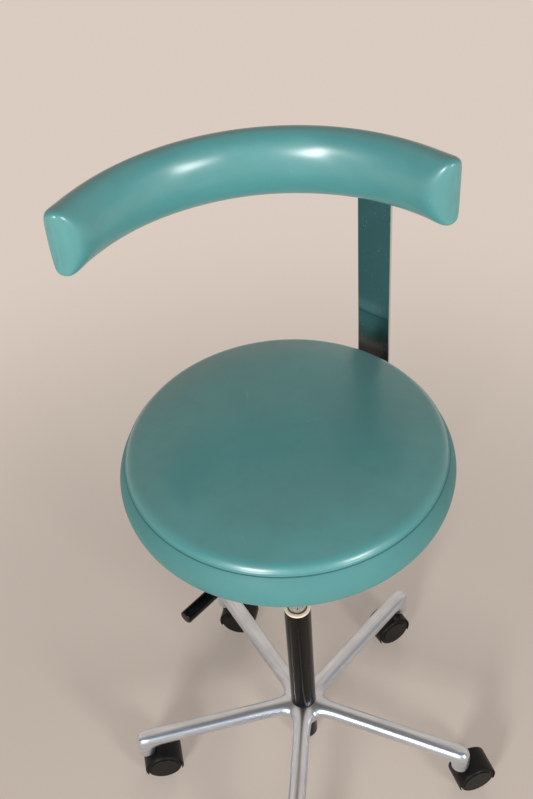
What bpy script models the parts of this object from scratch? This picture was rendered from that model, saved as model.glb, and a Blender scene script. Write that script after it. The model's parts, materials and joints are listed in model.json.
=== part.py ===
"""Swivel stool with a curved backrest, a gas-lift column and five twin-wheel casters.

Metres, +Z up. The floor is z = 0, the column stands on the Z axis and the front is -Y.
Plan bearings are measured from the back (+Y) towards the right (+X).
"""

import math

import bmesh
import bpy
from mathutils import Matrix, Vector

# Clearances
SEAT_GAP = 0.0003
RUNNING_GAP = 0.0003

# Seat cushion
SEAM_HEIGHT = 0.6565
SEAM_RADIUS = 0.195
SHOULDER_RADIUS = 0.016
SHOULDER_LEAN = math.radians(75)
CROWN_LEAN = math.radians(3)
BAND_BULGE = 0.0095
BULGE_DROP = 0.0265
BAND_HEIGHT = 0.0595
BAND_FOOT_RADIUS = 0.184
BAND_TUCK = 0.016
COVER_THICKNESS = 0.0014
BOARD_THICKNESS = 0.012
BOARD_MARGIN = 0.002

# Seat plate: flange, lever drum and socket pressed in one piece
FLANGE_RADIUS = 0.085
FLANGE_THICKNESS = 0.003
DRUM_RADIUS = 0.034
DRUM_WALL = 0.003
DRUM_DEPTH = 0.045
SOCKET_RADIUS = 0.020
SOCKET_LENGTH = 0.0414
SEAT_SCREW_COUNT = 4
SEAT_SCREW_CIRCLE = 0.070
SEAT_SCREW_RADIUS = 0.0025
SEAT_SCREW_HEAD_RADIUS = 0.005
SEAT_SCREW_HEAD_HEIGHT = 0.003
SEAT_SCREW_CROWN_RADIUS = 0.0035
SEAT_SCREW_BITE = 0.009

# Gas spring
TUBE_RADIUS = 0.013
TUBE_WALL = 0.0015
TUBE_BOTTOM = 0.2195
TUBE_LIP_RADIUS = 0.007
TUBE_HEAD_THICKNESS = 0.020
ROD_RADIUS = 0.005
ROD_STUD_RADIUS = 0.004
ROD_STUD_LENGTH = 0.016
ROD_GUIDE_LENGTH = 0.015
PISTON_LENGTH = 0.012
PIN_RADIUS = 0.003
PIN_STAND_OUT = 0.0098
PIN_FOOT_RADIUS = 0.0055
PIN_FOOT_HEIGHT = 0.005
PIN_FOOT_DROP = 0.004

# Stand tube, guide bush and the thrust bearing at its foot
STAND_RADIUS = 0.019
STAND_WALL = 0.0025
STAND_TOP = 0.332
STAND_BOTTOM = 0.008
STAND_FLOOR = 0.004
STAND_CHAMFER = 0.0025
BUSH_LIP_HEIGHT = 0.0035
BUSH_LIP_ROUND = 0.0012
BUSH_LENGTH = 0.082
RACE_RADIUS = 0.012
RACE_THICKNESS = 0.002
CAGE_RADIUS = 0.0115
CAGE_THICKNESS = 0.003
CLIP_RADIUS = 0.0085
CLIP_THICKNESS = 0.0014
ROD_FOOT = 0.005

# Five-arm base
ARM_COUNT = 5
FIRST_ARM_BEARING = math.radians(187.03)
ARM_HEIGHT = 0.087
ARM_CAGE = 0.028
STEM_CIRCLE = 0.251
SOCKET_BOTTOM = 0.058
HUB_CAGE_RADIUS = 0.036
FILLET_REACH = 0.062
BEND_REACH = 0.030
HUB_BOSS_RADIUS = 0.027
HUB_BOSS_BOTTOM = 0.062
STEM_BORE_DEPTH = 0.036

# Casters
WHEEL_RADIUS = 0.0265
WHEEL_INNER_FACE = 0.0072
WHEEL_OUTER_FACE = 0.0212
WHEEL_SIDES = 18
TREAD_ROUND = 0.002
CAP_RADIUS = 0.0185
CAP_GROOVE = 0.0012
CASTER_TRAIL = 0.0215
HOOD_RADIUS = 0.0297
HOOD_WALL = 0.0018
HOOD_HALF_WIDTH = 0.0200
HOOD_EDGE_ROUND = 0.0015
HOOD_WEB = 0.0065
SKIRT_HEIGHT = 0.016
AXLE_RADIUS = 0.003
AXLE_COVER = 0.003
STEM_RADIUS = 0.004
STEM_COLLAR_RADIUS = 0.009
STEM_COLLAR_THICKNESS = 0.003
CASTER_BEARINGS = tuple(math.radians(angle) for angle in (85, 72, 242, 105, 81))

# Lever
LEVER_TIP = Vector((-0.1283, -0.1764))
LEVER_BEND = Vector((-0.0205, -0.0655))
LEVER_ROD_RADIUS = 0.004
LEVER_BEND_REACH = 0.018
PIVOT_REACH = 0.019
PIVOT_RADIUS = 0.0025
PIVOT_STAND_OUT = 0.0008
NOSE_LENGTH = 0.036
NOSE_WIDTH = 0.010
NOSE_HEIGHT = 0.010
NOSE_OVERHANG = 0.006
GRIP_RADIUS = 0.0078
GRIP_LENGTH = 0.095
GRIP_ROUND = 0.0015
GRIP_END_WALL = 0.015
LEVER_SLOT_WIDTH = 0.014
LEVER_SLOT_HEIGHT = 0.022

# Backrest bar and the stack that lets it swing on the socket
BAR_WIDTH = 0.045
BAR_THICKNESS = 0.005
BAR_BEARING = math.radians(32.8)
BAR_BEND_RADIUS = 0.018
BAR_BEND_STEPS = 6
EYE_RADIUS = 0.031
EYE_THICKNESS = 0.0056
SWING_WASHER_THICKNESS = 0.003
COLLAR_RADIUS = 0.0285
COLLAR_HEIGHT = 0.0145

# Back pad
PAD_CENTRE = Vector((0.001, -0.044))
PAD_RADIUS = 0.261
PAD_MIDDLE = 0.919
PAD_HEIGHT = 0.087
PAD_THICKNESS = 0.048
PAD_START = math.radians(-63.3)
PAD_END = math.radians(51.4)
PAD_SQUARENESS = 2.3
PAD_SECTION_POINTS = 16
PAD_SPAN_STEPS = 12
PAD_END_TAPER = 0.024
PAD_END_ROUND = 0.010
PAD_END_STEPS = 5
PAD_NOSE = 0.006
PAD_NOSE_SHIFT = 0.004
PAD_CORNER_FLARE = 0.006
PAD_FLARE_REACH = 0.030
CORE_THICKNESS = 0.010
CORE_BACK_OFFSET = 0.008
CORE_HEIGHT = 0.050
CORE_END_MARGIN = 0.040
CORE_STEPS = 12
BAR_INSERT = 0.064
PAD_BOLT_SPACING = 0.026
PAD_BOLT_RADIUS = 0.003
PAD_BOLT_HEAD_RADIUS = 0.005
PAD_BOLT_HEAD_HEIGHT = 0.0035
FOAM_GAP = 0.0005
SLOT_GAP = 0.0008

# Facets round turned pieces
FINE_SIDES = 24
SEAT_SIDES = 32
SMALL_SIDES = 10
HOOD_SIDES = 20
INNER_SIDES = 16
CROWN_STEPS = 2
SHOULDER_STEPS = 4
SWELL_STEPS = 3
ROLL_STEPS = 4
MERGE_DISTANCE = 0.00001
CUTTER_MARGIN = 0.02

# Heights that follow from the sizes above
SEAT_BOTTOM = SEAM_HEIGHT - BAND_HEIGHT
BOARD_BOTTOM = SEAT_BOTTOM + COVER_THICKNESS + SEAT_GAP
BOARD_TOP = BOARD_BOTTOM + BOARD_THICKNESS
BOARD_RADIUS = BAND_FOOT_RADIUS - BOARD_MARGIN
PLATE_TOP = BOARD_BOTTOM - SEAT_GAP
FLANGE_BOTTOM = PLATE_TOP - FLANGE_THICKNESS
DRUM_BOTTOM = PLATE_TOP - DRUM_DEPTH
DRUM_FLOOR = DRUM_BOTTOM + DRUM_WALL
SOCKET_END = DRUM_BOTTOM - SOCKET_LENGTH
TUBE_TOP = DRUM_FLOOR - CLIP_THICKNESS
TUBE_BORE = TUBE_RADIUS - TUBE_WALL
PIN_TOP = TUBE_TOP + PIN_STAND_OUT
LEVER_HEIGHT = PIN_TOP + SEAT_GAP + NOSE_HEIGHT / 2
STAND_BORE = STAND_RADIUS - STAND_WALL
STUD_BORE = ROD_STUD_RADIUS + RUNNING_GAP
BUSH_BORE = TUBE_RADIUS + RUNNING_GAP
RACE_BASE = STAND_BOTTOM + STAND_FLOOR + SEAT_GAP
CAGE_BASE = RACE_BASE + RACE_THICKNESS + SEAT_GAP
UPPER_RACE_BASE = CAGE_BASE + CAGE_THICKNESS + SEAT_GAP
ROD_SHOULDER = UPPER_RACE_BASE + RACE_THICKNESS + SEAT_GAP
GUIDE_BASE = TUBE_BOTTOM + TUBE_WALL + SEAT_GAP
PISTON_BASE = GUIDE_BASE + ROD_GUIDE_LENGTH + SEAT_GAP
EYE_TOP = DRUM_BOTTOM - SWING_WASHER_THICKNESS - 2 * SEAT_GAP
EYE_BOTTOM = EYE_TOP - EYE_THICKNESS
BAR_LEG_TOP = EYE_TOP - (EYE_THICKNESS - BAR_THICKNESS) / 2
BAR_LEG_BOTTOM = BAR_LEG_TOP - BAR_THICKNESS
LOWER_WASHER_TOP = EYE_BOTTOM - SEAT_GAP
COLLAR_TOP = LOWER_WASHER_TOP - SWING_WASHER_THICKNESS - SEAT_GAP
SOCKET_RUN = SOCKET_RADIUS + RUNNING_GAP
BAR_TOP = PAD_MIDDLE - PAD_HEIGHT / 2 + BAR_INSERT
STEM_COLLAR_BASE = SOCKET_BOTTOM - SEAT_GAP - STEM_COLLAR_THICKNESS
HOOD_BOSS_TOP = STEM_COLLAR_BASE - SEAT_GAP

PARTS_COLLECTION = "swivel_stool"
CUTTERS_COLLECTION = "cutters"

FINISHES = {
    "cast_aluminium": ((0.60, 0.61, 0.62), 0.28, 1.0),
    "black_enamel": ((0.012, 0.011, 0.010), 0.22, 0.0),
    "chrome": ((0.74, 0.75, 0.76), 0.08, 1.0),
    "bright_steel": ((0.52, 0.53, 0.54), 0.32, 1.0),
    "cream_plastic": ((0.80, 0.70, 0.50), 0.42, 0.0),
    "black_nylon": ((0.017, 0.016, 0.015), 0.50, 0.0),
    "black_phenolic": ((0.006, 0.006, 0.006), 0.12, 0.0),
    "teal_vinyl": ((0.075, 0.280, 0.255), 0.36, 0.0),
    "foam": ((0.72, 0.64, 0.40), 0.95, 0.0),
    "plywood": ((0.48, 0.33, 0.18), 0.70, 0.0),
}


def clear_scene():
    """Remove whatever the file held before."""
    for old in list(bpy.data.objects):
        bpy.data.objects.remove(old, do_unlink=True)


def collection(name):
    """The named collection, made on first use."""
    found = bpy.data.collections.get(name)
    if found is None:
        found = bpy.data.collections.new(name)
        bpy.context.scene.collection.children.link(found)
    return found


def finish_material(name):
    """Principled material for one of the stool's finishes."""
    found = bpy.data.materials.get(name)
    if found is not None:
        return found
    colour, roughness, metallic = FINISHES[name]
    material = bpy.data.materials.new(name)
    material.use_nodes = True
    shader = material.node_tree.nodes["Principled BSDF"]
    shader.inputs["Base Color"].default_value = (*colour, 1.0)
    shader.inputs["Roughness"].default_value = roughness
    shader.inputs["Metallic"].default_value = metallic
    return material


def bearing_vector(bearing, distance=1.0, height=0.0):
    """Point at a plan bearing from the column's axis."""
    return Vector((distance * math.sin(bearing), distance * math.cos(bearing), height))


def pivot(name, location, parent=None):
    """Empty on a joint's axis that carries the pieces turning there."""
    empty = bpy.data.objects.new(name, None)
    empty.empty_display_size = 0.02
    empty.location = location
    empty.parent = parent
    collection(PARTS_COLLECTION).objects.link(empty)
    return empty


def place(name, data, finish, parent=None):
    """Object for one piece, in the stool's collection."""
    piece = bpy.data.objects.new(name, data)
    piece.parent = parent
    collection(PARTS_COLLECTION).objects.link(piece)
    data.materials.append(finish_material(finish))
    return piece


def mesh_from(name, bm, smooth_angle=math.radians(35)):
    """Mesh datablock from a bmesh, smooth except at its real edges."""
    mesh = bpy.data.meshes.new(name)
    bm.to_mesh(mesh)
    bm.free()
    mesh.shade_smooth()
    mesh.set_sharp_from_angle(angle=smooth_angle)
    return mesh


def as_tool(piece):
    """Turn a piece into a cutter or a welded-on shape that isn't itself a part."""
    for owner in list(piece.users_collection):
        owner.objects.unlink(piece)
    collection(CUTTERS_COLLECTION).objects.link(piece)
    piece.hide_render = True
    piece.display_type = "WIRE"
    return piece


def combine(target, tool, operation):
    """Boolean of a piece with a tool."""
    step = target.modifiers.new(operation.lower(), "BOOLEAN")
    step.operation = operation
    step.solver = "EXACT"
    step.object = tool


def turned(name, profile, finish, parent=None, sides=FINE_SIDES):
    """Revolve (radius, height) points about local Z, down the outer side first."""
    bm = bmesh.new()
    points = [bm.verts.new((radius, 0.0, height)) for radius, height in profile]
    for first, second in zip(points, points[1:]):
        bm.edges.new((first, second))
    if profile[0][0] > 0:
        bm.edges.new((points[-1], points[0]))
    mesh = bpy.data.meshes.new(name)
    bm.to_mesh(mesh)
    bm.free()
    piece = place(name, mesh, finish, parent)
    screw = piece.modifiers.new("turn", "SCREW")
    screw.steps = sides
    screw.render_steps = sides
    screw.use_merge_vertices = True
    screw.merge_threshold = MERGE_DISTANCE
    return piece


def ring(outer, inner, base, height):
    """Profile of a plain ring."""
    top = base + height
    return [(outer, top), (outer, base), (inner, base), (inner, top)]


def disc(radius, base, height):
    """Profile of a plain disc or pin."""
    return [(0.0, base + height), (radius, base + height), (radius, base), (0.0, base)]


def box_tool(name, size, centre, parent=None, turn=0.0):
    """Box-shaped tool, turned about Z by a plan bearing."""
    bm = bmesh.new()
    bmesh.ops.create_cube(bm, size=1.0, matrix=Matrix.Diagonal((*size, 1.0)))
    tool = as_tool(place(name, mesh_from(name, bm), "bright_steel", parent))
    tool.location = centre
    tool.rotation_euler.z = -turn
    return tool


def rod_tool(name, radius, start, end, parent=None, sides=FINE_SIDES):
    """Cylinder tool between two points."""
    span = end - start
    lie = span.to_track_quat("Z", "Y").to_matrix().to_4x4()
    bm = bmesh.new()
    bmesh.ops.create_cone(
        bm,
        cap_ends=True,
        segments=sides,
        radius1=radius,
        radius2=radius,
        depth=span.length,
        matrix=Matrix.Translation((start + end) / 2) @ lie,
    )
    return as_tool(place(name, mesh_from(name, bm), "bright_steel", parent))


def offset_line(points, distance):
    """Copy of an open profile line moved to its right-hand side."""
    moved = []
    for index, point in enumerate(points):
        before = points[max(index - 1, 0)]
        after = points[min(index + 1, len(points) - 1)]
        along = (Vector(after) - Vector(before)).normalized()
        moved.append((point[0] + along.y * distance, point[1] - along.x * distance))
    return moved


def cut_off(points, level):
    """Part of a falling profile line that lies above a level."""
    kept = []
    for upper, lower in zip(points, points[1:]):
        kept.append(upper)
        if lower[1] <= level:
            share = (upper[1] - level) / (upper[1] - lower[1])
            kept.append((upper[0] + (lower[0] - upper[0]) * share, level))
            break
    return kept


def crown_line():
    """Top of the seat: a shallow crown, then a rounded shoulder down to the seam."""
    start_radius = SEAM_RADIUS - SHOULDER_RADIUS * (math.sin(SHOULDER_LEAN) - math.sin(CROWN_LEAN))
    start_height = SEAM_HEIGHT + SHOULDER_RADIUS * (math.cos(CROWN_LEAN) - math.cos(SHOULDER_LEAN))
    crown = start_radius * math.tan(CROWN_LEAN) / 2
    line = []
    for step in range(CROWN_STEPS):
        share = step / CROWN_STEPS
        line.append((start_radius * share, start_height + crown * (1 - share ** 2)))
    for step in range(SHOULDER_STEPS + 1):
        lean = CROWN_LEAN + (SHOULDER_LEAN - CROWN_LEAN) * step / SHOULDER_STEPS
        radius = start_radius + SHOULDER_RADIUS * (math.sin(lean) - math.sin(CROWN_LEAN))
        line.append((radius, start_height - SHOULDER_RADIUS * (math.cos(CROWN_LEAN) - math.cos(lean))))
    return line


def band_line():
    """Side of the seat, from the seam down over its swell and under the board."""
    bulge_radius = SEAM_RADIUS + BAND_BULGE
    line = []
    for step in range(SWELL_STEPS):
        share = step / SWELL_STEPS
        swell = BAND_BULGE * math.sin(math.pi / 2 * share)
        line.append((SEAM_RADIUS + swell, SEAM_HEIGHT - BULGE_DROP * share))
    roll_height = BAND_HEIGHT - BULGE_DROP
    for step in range(ROLL_STEPS + 1):
        angle = math.pi / 2 * step / ROLL_STEPS
        radius = BAND_FOOT_RADIUS + (bulge_radius - BAND_FOOT_RADIUS) * math.cos(angle)
        line.append((radius, SEAM_HEIGHT - BULGE_DROP - roll_height * math.sin(angle)))
    line.append((BAND_FOOT_RADIUS - BAND_TUCK, SEAT_BOTTOM))
    return line


def seat_cover():
    """Top panel and side band, two vinyl skins that meet at the seam."""
    crown = crown_line()
    panel_edge = [(radius, height) for radius, height in crown]
    panel_edge[-1] = (SEAM_RADIUS, SEAM_HEIGHT + SEAT_GAP)
    under = offset_line(panel_edge, COVER_THICKNESS)
    under[0] = (0.0, crown[0][1] - COVER_THICKNESS)
    under[-1] = (SEAM_RADIUS - COVER_THICKNESS, SEAM_HEIGHT + SEAT_GAP)
    turned("seat_top_panel", panel_edge + under[::-1], "teal_vinyl", sides=SEAT_SIDES)
    band = band_line()
    inner = offset_line(band, COVER_THICKNESS)
    inner[0] = (SEAM_RADIUS - COVER_THICKNESS, SEAM_HEIGHT)
    turned("seat_side_band", band + inner[::-1], "teal_vinyl", sides=SEAT_SIDES)


def seat_cushion():
    """Foam under the skins, lying on the board."""
    skin = COVER_THICKNESS + SEAT_GAP
    base = BOARD_TOP + SEAT_GAP
    crown = crown_line()
    over = offset_line(crown, skin)
    over[0] = (0.0, crown[0][1] - skin)
    side = cut_off(offset_line(band_line(), skin), base)
    profile = over[:-1] + side[1:] + [(0.0, base)]
    turned("seat_foam", profile, "foam", sides=SEAT_SIDES)


def seat_screw_points():
    """Plan places of the screws that hold the plate to the board."""
    step = 2 * math.pi / SEAT_SCREW_COUNT
    first = BAR_BEARING + step / 2
    return [bearing_vector(first + index * step, SEAT_SCREW_CIRCLE) for index in range(SEAT_SCREW_COUNT)]


def seat_board():
    """Plywood disc with pilot holes for the plate's screws."""
    profile = disc(BOARD_RADIUS, BOARD_BOTTOM, BOARD_THICKNESS)
    board = turned("seat_board", profile, "plywood", sides=SEAT_SIDES)
    depth = SEAT_SCREW_BITE + SEAT_GAP
    for index, point in enumerate(seat_screw_points()):
        low = point + Vector((0, 0, BOARD_BOTTOM - CUTTER_MARGIN))
        high = point + Vector((0, 0, BOARD_BOTTOM + depth))
        hole = rod_tool(f"pilot_{index + 1}", SEAT_SCREW_RADIUS + SEAT_GAP, low, high, sides=SMALL_SIDES)
        combine(board, hole, "DIFFERENCE")


def seat_screws():
    """Pan-head screws up through the flange into the board."""
    head_top = FLANGE_BOTTOM - SEAT_GAP
    tip = BOARD_BOTTOM + SEAT_SCREW_BITE
    for index, point in enumerate(seat_screw_points()):
        profile = [
            (0.0, tip),
            (SEAT_SCREW_RADIUS, tip - SEAT_SCREW_RADIUS),
            (SEAT_SCREW_RADIUS, head_top),
            (SEAT_SCREW_HEAD_RADIUS, head_top),
            (SEAT_SCREW_CROWN_RADIUS, head_top - SEAT_SCREW_HEAD_HEIGHT),
            (0.0, head_top - SEAT_SCREW_HEAD_HEIGHT),
        ]
        screw = turned(f"seat_screw_{index + 1}", profile, "bright_steel", sides=SMALL_SIDES)
        screw.location = point


def lever_direction():
    """Plan direction of the lever's inner length, out from the column."""
    return LEVER_BEND.normalized().to_3d()


def lever_pivot_point():
    """Middle of the lever's pivot pin."""
    return lever_direction() * PIVOT_REACH + Vector((0, 0, LEVER_HEIGHT))


def seat_plate():
    """Flange, drum and socket, with the lever's slot and pivot holes in the drum."""
    profile = [
        (FLANGE_RADIUS, PLATE_TOP),
        (FLANGE_RADIUS, FLANGE_BOTTOM),
        (DRUM_RADIUS, FLANGE_BOTTOM),
        (DRUM_RADIUS, DRUM_BOTTOM),
        (SOCKET_RADIUS, DRUM_BOTTOM),
        (SOCKET_RADIUS, SOCKET_END),
        (TUBE_RADIUS + SEAT_GAP, SOCKET_END),
        (TUBE_RADIUS + SEAT_GAP, DRUM_FLOOR),
        (DRUM_RADIUS - DRUM_WALL, DRUM_FLOOR),
        (DRUM_RADIUS - DRUM_WALL, PLATE_TOP),
    ]
    plate = turned("seat_plate", profile, "bright_steel")
    for index, point in enumerate(seat_screw_points()):
        low = point + Vector((0, 0, FLANGE_BOTTOM - CUTTER_MARGIN))
        high = point + Vector((0, 0, PLATE_TOP + CUTTER_MARGIN))
        radius = SEAT_SCREW_RADIUS + SEAT_GAP
        hole = rod_tool(f"flange_hole_{index + 1}", radius, low, high, sides=SMALL_SIDES)
        combine(plate, hole, "DIFFERENCE")
    ahead = lever_direction()
    across = ahead.cross(Vector((0, 0, 1)))
    bearing = math.atan2(ahead.x, ahead.y)
    slot_centre = ahead * DRUM_RADIUS + Vector((0, 0, LEVER_HEIGHT))
    slot = box_tool(
        "lever_slot", (LEVER_SLOT_WIDTH, 4 * DRUM_WALL, LEVER_SLOT_HEIGHT), slot_centre, turn=bearing
    )
    combine(plate, slot, "DIFFERENCE")
    middle = lever_pivot_point()
    reach = across * (DRUM_RADIUS + CUTTER_MARGIN)
    radius = PIVOT_RADIUS + SEAT_GAP
    holes = rod_tool("pivot_holes", radius, middle - reach, middle + reach, sides=SMALL_SIDES)
    combine(plate, holes, "DIFFERENCE")


def lever():
    """Release lever: bent rod with a flat nose, its grip and its pivot pin."""
    middle = lever_pivot_point()
    axis = pivot("lever_axis", middle)
    ahead = lever_direction()
    across = ahead.cross(Vector((0, 0, 1)))
    outward = (LEVER_TIP - LEVER_BEND).normalized().to_3d()
    tip = LEVER_TIP.to_3d() + Vector((0, 0, LEVER_HEIGHT))
    bend = LEVER_BEND.to_3d() + Vector((0, 0, LEVER_HEIGHT))
    nose_back = -PIVOT_REACH - NOSE_OVERHANG
    route = [
        ahead * (nose_back + NOSE_LENGTH / 2),
        bend - middle - ahead * LEVER_BEND_REACH,
        bend - middle,
        bend - middle + outward * LEVER_BEND_REACH,
        tip - middle - outward * (GRIP_END_WALL + SEAT_GAP),
    ]
    rod = tube_along("lever_rod", route, LEVER_ROD_RADIUS, "bright_steel", axis)
    nose_middle = ahead * (nose_back + NOSE_LENGTH / 2)
    bearing = math.atan2(ahead.x, ahead.y)
    nose = box_tool("lever_nose", (NOSE_WIDTH, NOSE_LENGTH, NOSE_HEIGHT), nose_middle, axis, bearing)
    combine(rod, nose, "UNION")
    reach = across * NOSE_WIDTH
    eye = rod_tool("lever_eye", PIVOT_RADIUS + RUNNING_GAP, -reach, reach, axis, SMALL_SIDES)
    combine(rod, eye, "DIFFERENCE")
    half_chord = math.sqrt(DRUM_RADIUS ** 2 - PIVOT_REACH ** 2) + PIVOT_STAND_OUT
    pin_profile = disc(PIVOT_RADIUS, -half_chord, 2 * half_chord)
    pin = turned("lever_pivot_pin", pin_profile, "bright_steel", sides=SMALL_SIDES)
    pin.location = middle
    pin.rotation_euler = across.to_track_quat("Z", "Y").to_euler()
    bore = LEVER_ROD_RADIUS + SEAT_GAP
    grip_profile = [
        (0.0, 0.0),
        (GRIP_RADIUS - GRIP_ROUND, 0.0),
        (GRIP_RADIUS, -GRIP_ROUND),
        (GRIP_RADIUS, GRIP_ROUND - GRIP_LENGTH),
        (GRIP_RADIUS - GRIP_ROUND, -GRIP_LENGTH),
        (bore, -GRIP_LENGTH),
        (bore, -GRIP_END_WALL),
        (0.0, -GRIP_END_WALL),
    ]
    grip = turned("lever_grip", grip_profile, "black_phenolic", axis, FINE_SIDES)
    grip.location = tip - middle
    grip.rotation_euler = outward.to_track_quat("Z", "Y").to_euler()


def tube_along(name, route, radius, finish, parent=None):
    """Round rod along a route, made a mesh so that it can be cut and welded."""
    curve = bpy.data.curves.new(name + "_route", "CURVE")
    curve.dimensions = "3D"
    curve.bevel_depth = radius
    curve.bevel_resolution = 2
    curve.use_fill_caps = True
    spline = curve.splines.new("POLY")
    spline.points.add(len(route) - 1)
    for point, place_at in zip(spline.points, route):
        point.co = (*place_at, 1.0)
    guide = bpy.data.objects.new(name + "_route", curve)
    collection(CUTTERS_COLLECTION).objects.link(guide)
    return meshed(name, guide, finish, parent)


def meshed(name, guide, finish, parent=None):
    """Closed mesh piece made from a curve object, which is then removed."""
    evaluated = guide.evaluated_get(bpy.context.evaluated_depsgraph_get())
    mesh = bpy.data.meshes.new_from_object(evaluated)
    bpy.data.objects.remove(guide, do_unlink=True)
    bm = bmesh.new()
    bm.from_mesh(mesh)
    bpy.data.meshes.remove(mesh)
    bmesh.ops.remove_doubles(bm, verts=bm.verts, dist=MERGE_DISTANCE)
    bmesh.ops.recalc_face_normals(bm, faces=bm.faces)
    return place(name, mesh_from(name, bm), finish, parent)


def gas_spring():
    """Pressure tube with its rod guide, and the rod, piston and release pin."""
    pin_bore = PIN_RADIUS + RUNNING_GAP
    head_under = TUBE_TOP - TUBE_HEAD_THICKNESS
    tube = [
        (TUBE_RADIUS, TUBE_TOP),
        (TUBE_RADIUS, TUBE_BOTTOM),
        (TUBE_LIP_RADIUS, TUBE_BOTTOM),
        (TUBE_LIP_RADIUS, TUBE_BOTTOM + TUBE_WALL),
        (TUBE_BORE, TUBE_BOTTOM + TUBE_WALL),
        (TUBE_BORE, head_under),
        (pin_bore, head_under),
        (pin_bore, TUBE_TOP),
    ]
    turned("pressure_tube", tube, "chrome")
    guide = ring(TUBE_BORE - SEAT_GAP, ROD_RADIUS + RUNNING_GAP, GUIDE_BASE, ROD_GUIDE_LENGTH)
    turned("rod_guide", guide, "black_nylon", sides=INNER_SIDES)
    stud_top = PISTON_BASE + ROD_STUD_LENGTH
    rod = [
        (0.0, stud_top),
        (ROD_STUD_RADIUS, stud_top),
        (ROD_STUD_RADIUS, PISTON_BASE - SEAT_GAP),
        (ROD_RADIUS, PISTON_BASE - SEAT_GAP),
        (ROD_RADIUS, ROD_SHOULDER),
        (ROD_STUD_RADIUS, ROD_SHOULDER),
        (ROD_STUD_RADIUS, ROD_FOOT),
        (0.0, ROD_FOOT),
    ]
    turned("piston_rod", rod, "chrome", sides=INNER_SIDES)
    piston = ring(TUBE_BORE - RUNNING_GAP, STUD_BORE, PISTON_BASE, PISTON_LENGTH)
    turned("piston", piston, "bright_steel", sides=INNER_SIDES)
    foot_top = head_under - PIN_FOOT_DROP
    pin = [
        (0.0, PIN_TOP),
        (PIN_RADIUS, PIN_TOP),
        (PIN_RADIUS, foot_top),
        (PIN_FOOT_RADIUS, foot_top),
        (PIN_FOOT_RADIUS, foot_top - PIN_FOOT_HEIGHT),
        (0.0, foot_top - PIN_FOOT_HEIGHT),
    ]
    turned("release_pin", pin, "bright_steel", sides=SMALL_SIDES)


def column():
    """Black stand tube, its cream guide bush and the thrust bearing at its foot."""
    floor_top = STAND_BOTTOM + STAND_FLOOR
    stand = [
        (STAND_RADIUS, STAND_TOP),
        (STAND_RADIUS, STAND_BOTTOM + STAND_CHAMFER),
        (STAND_RADIUS - STAND_CHAMFER, STAND_BOTTOM),
        (STUD_BORE, STAND_BOTTOM),
        (STUD_BORE, floor_top),
        (STAND_BORE, floor_top),
        (STAND_BORE, STAND_TOP),
    ]
    turned("stand_tube", stand, "black_enamel")
    lip_base = STAND_TOP + SEAT_GAP
    lip_top = lip_base + BUSH_LIP_HEIGHT
    sleeve = STAND_BORE - SEAT_GAP
    bush = [
        (STAND_RADIUS - BUSH_LIP_ROUND, lip_top),
        (STAND_RADIUS, lip_top - BUSH_LIP_ROUND),
        (STAND_RADIUS, lip_base),
        (sleeve, lip_base),
        (sleeve, STAND_TOP - BUSH_LENGTH),
        (BUSH_BORE, STAND_TOP - BUSH_LENGTH),
        (BUSH_BORE, lip_top - BUSH_LIP_ROUND),
        (BUSH_BORE + BUSH_LIP_ROUND, lip_top),
    ]
    turned("guide_bush", bush, "cream_plastic")
    rings = {
        "bearing_lower_race": (RACE_RADIUS, RACE_BASE, RACE_THICKNESS, "bright_steel"),
        "bearing_cage": (CAGE_RADIUS, CAGE_BASE, CAGE_THICKNESS, "cream_plastic"),
        "bearing_upper_race": (RACE_RADIUS, UPPER_RACE_BASE, RACE_THICKNESS, "bright_steel"),
        "rod_clip": (CLIP_RADIUS, STAND_BOTTOM - SEAT_GAP - CLIP_THICKNESS, CLIP_THICKNESS, "bright_steel"),
    }
    for name, (radius, base, height, finish) in rings.items():
        turned(name, ring(radius, STUD_BORE, base, height), finish, sides=INNER_SIDES)


def arm_bearing(index):
    """Plan bearing of one of the base's arms."""
    return FIRST_ARM_BEARING - index * 2 * math.pi / ARM_COUNT


def push_face(bm, face, shift):
    """Extrude one face of a cage and return the new face."""
    grown = bmesh.ops.extrude_discrete_faces(bm, faces=[face])["faces"][0]
    bmesh.ops.translate(bm, verts=grown.verts, vec=shift)
    return grown


def facing(faces, direction, beside):
    """The face that looks most nearly in a direction, of those nearest a point."""
    level = [face for face in faces if face.normal.dot(direction) > 0.9]
    return min(level, key=lambda face: (face.calc_center_median() - beside).length)


def crease_rim(bm, face):
    """Keep the rim of an end face crisp."""
    layer = bm.edges.layers.float.get("crease_edge") or bm.edges.layers.float.new("crease_edge")
    for edge in face.edges:
        edge[layer] = 1.0


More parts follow.
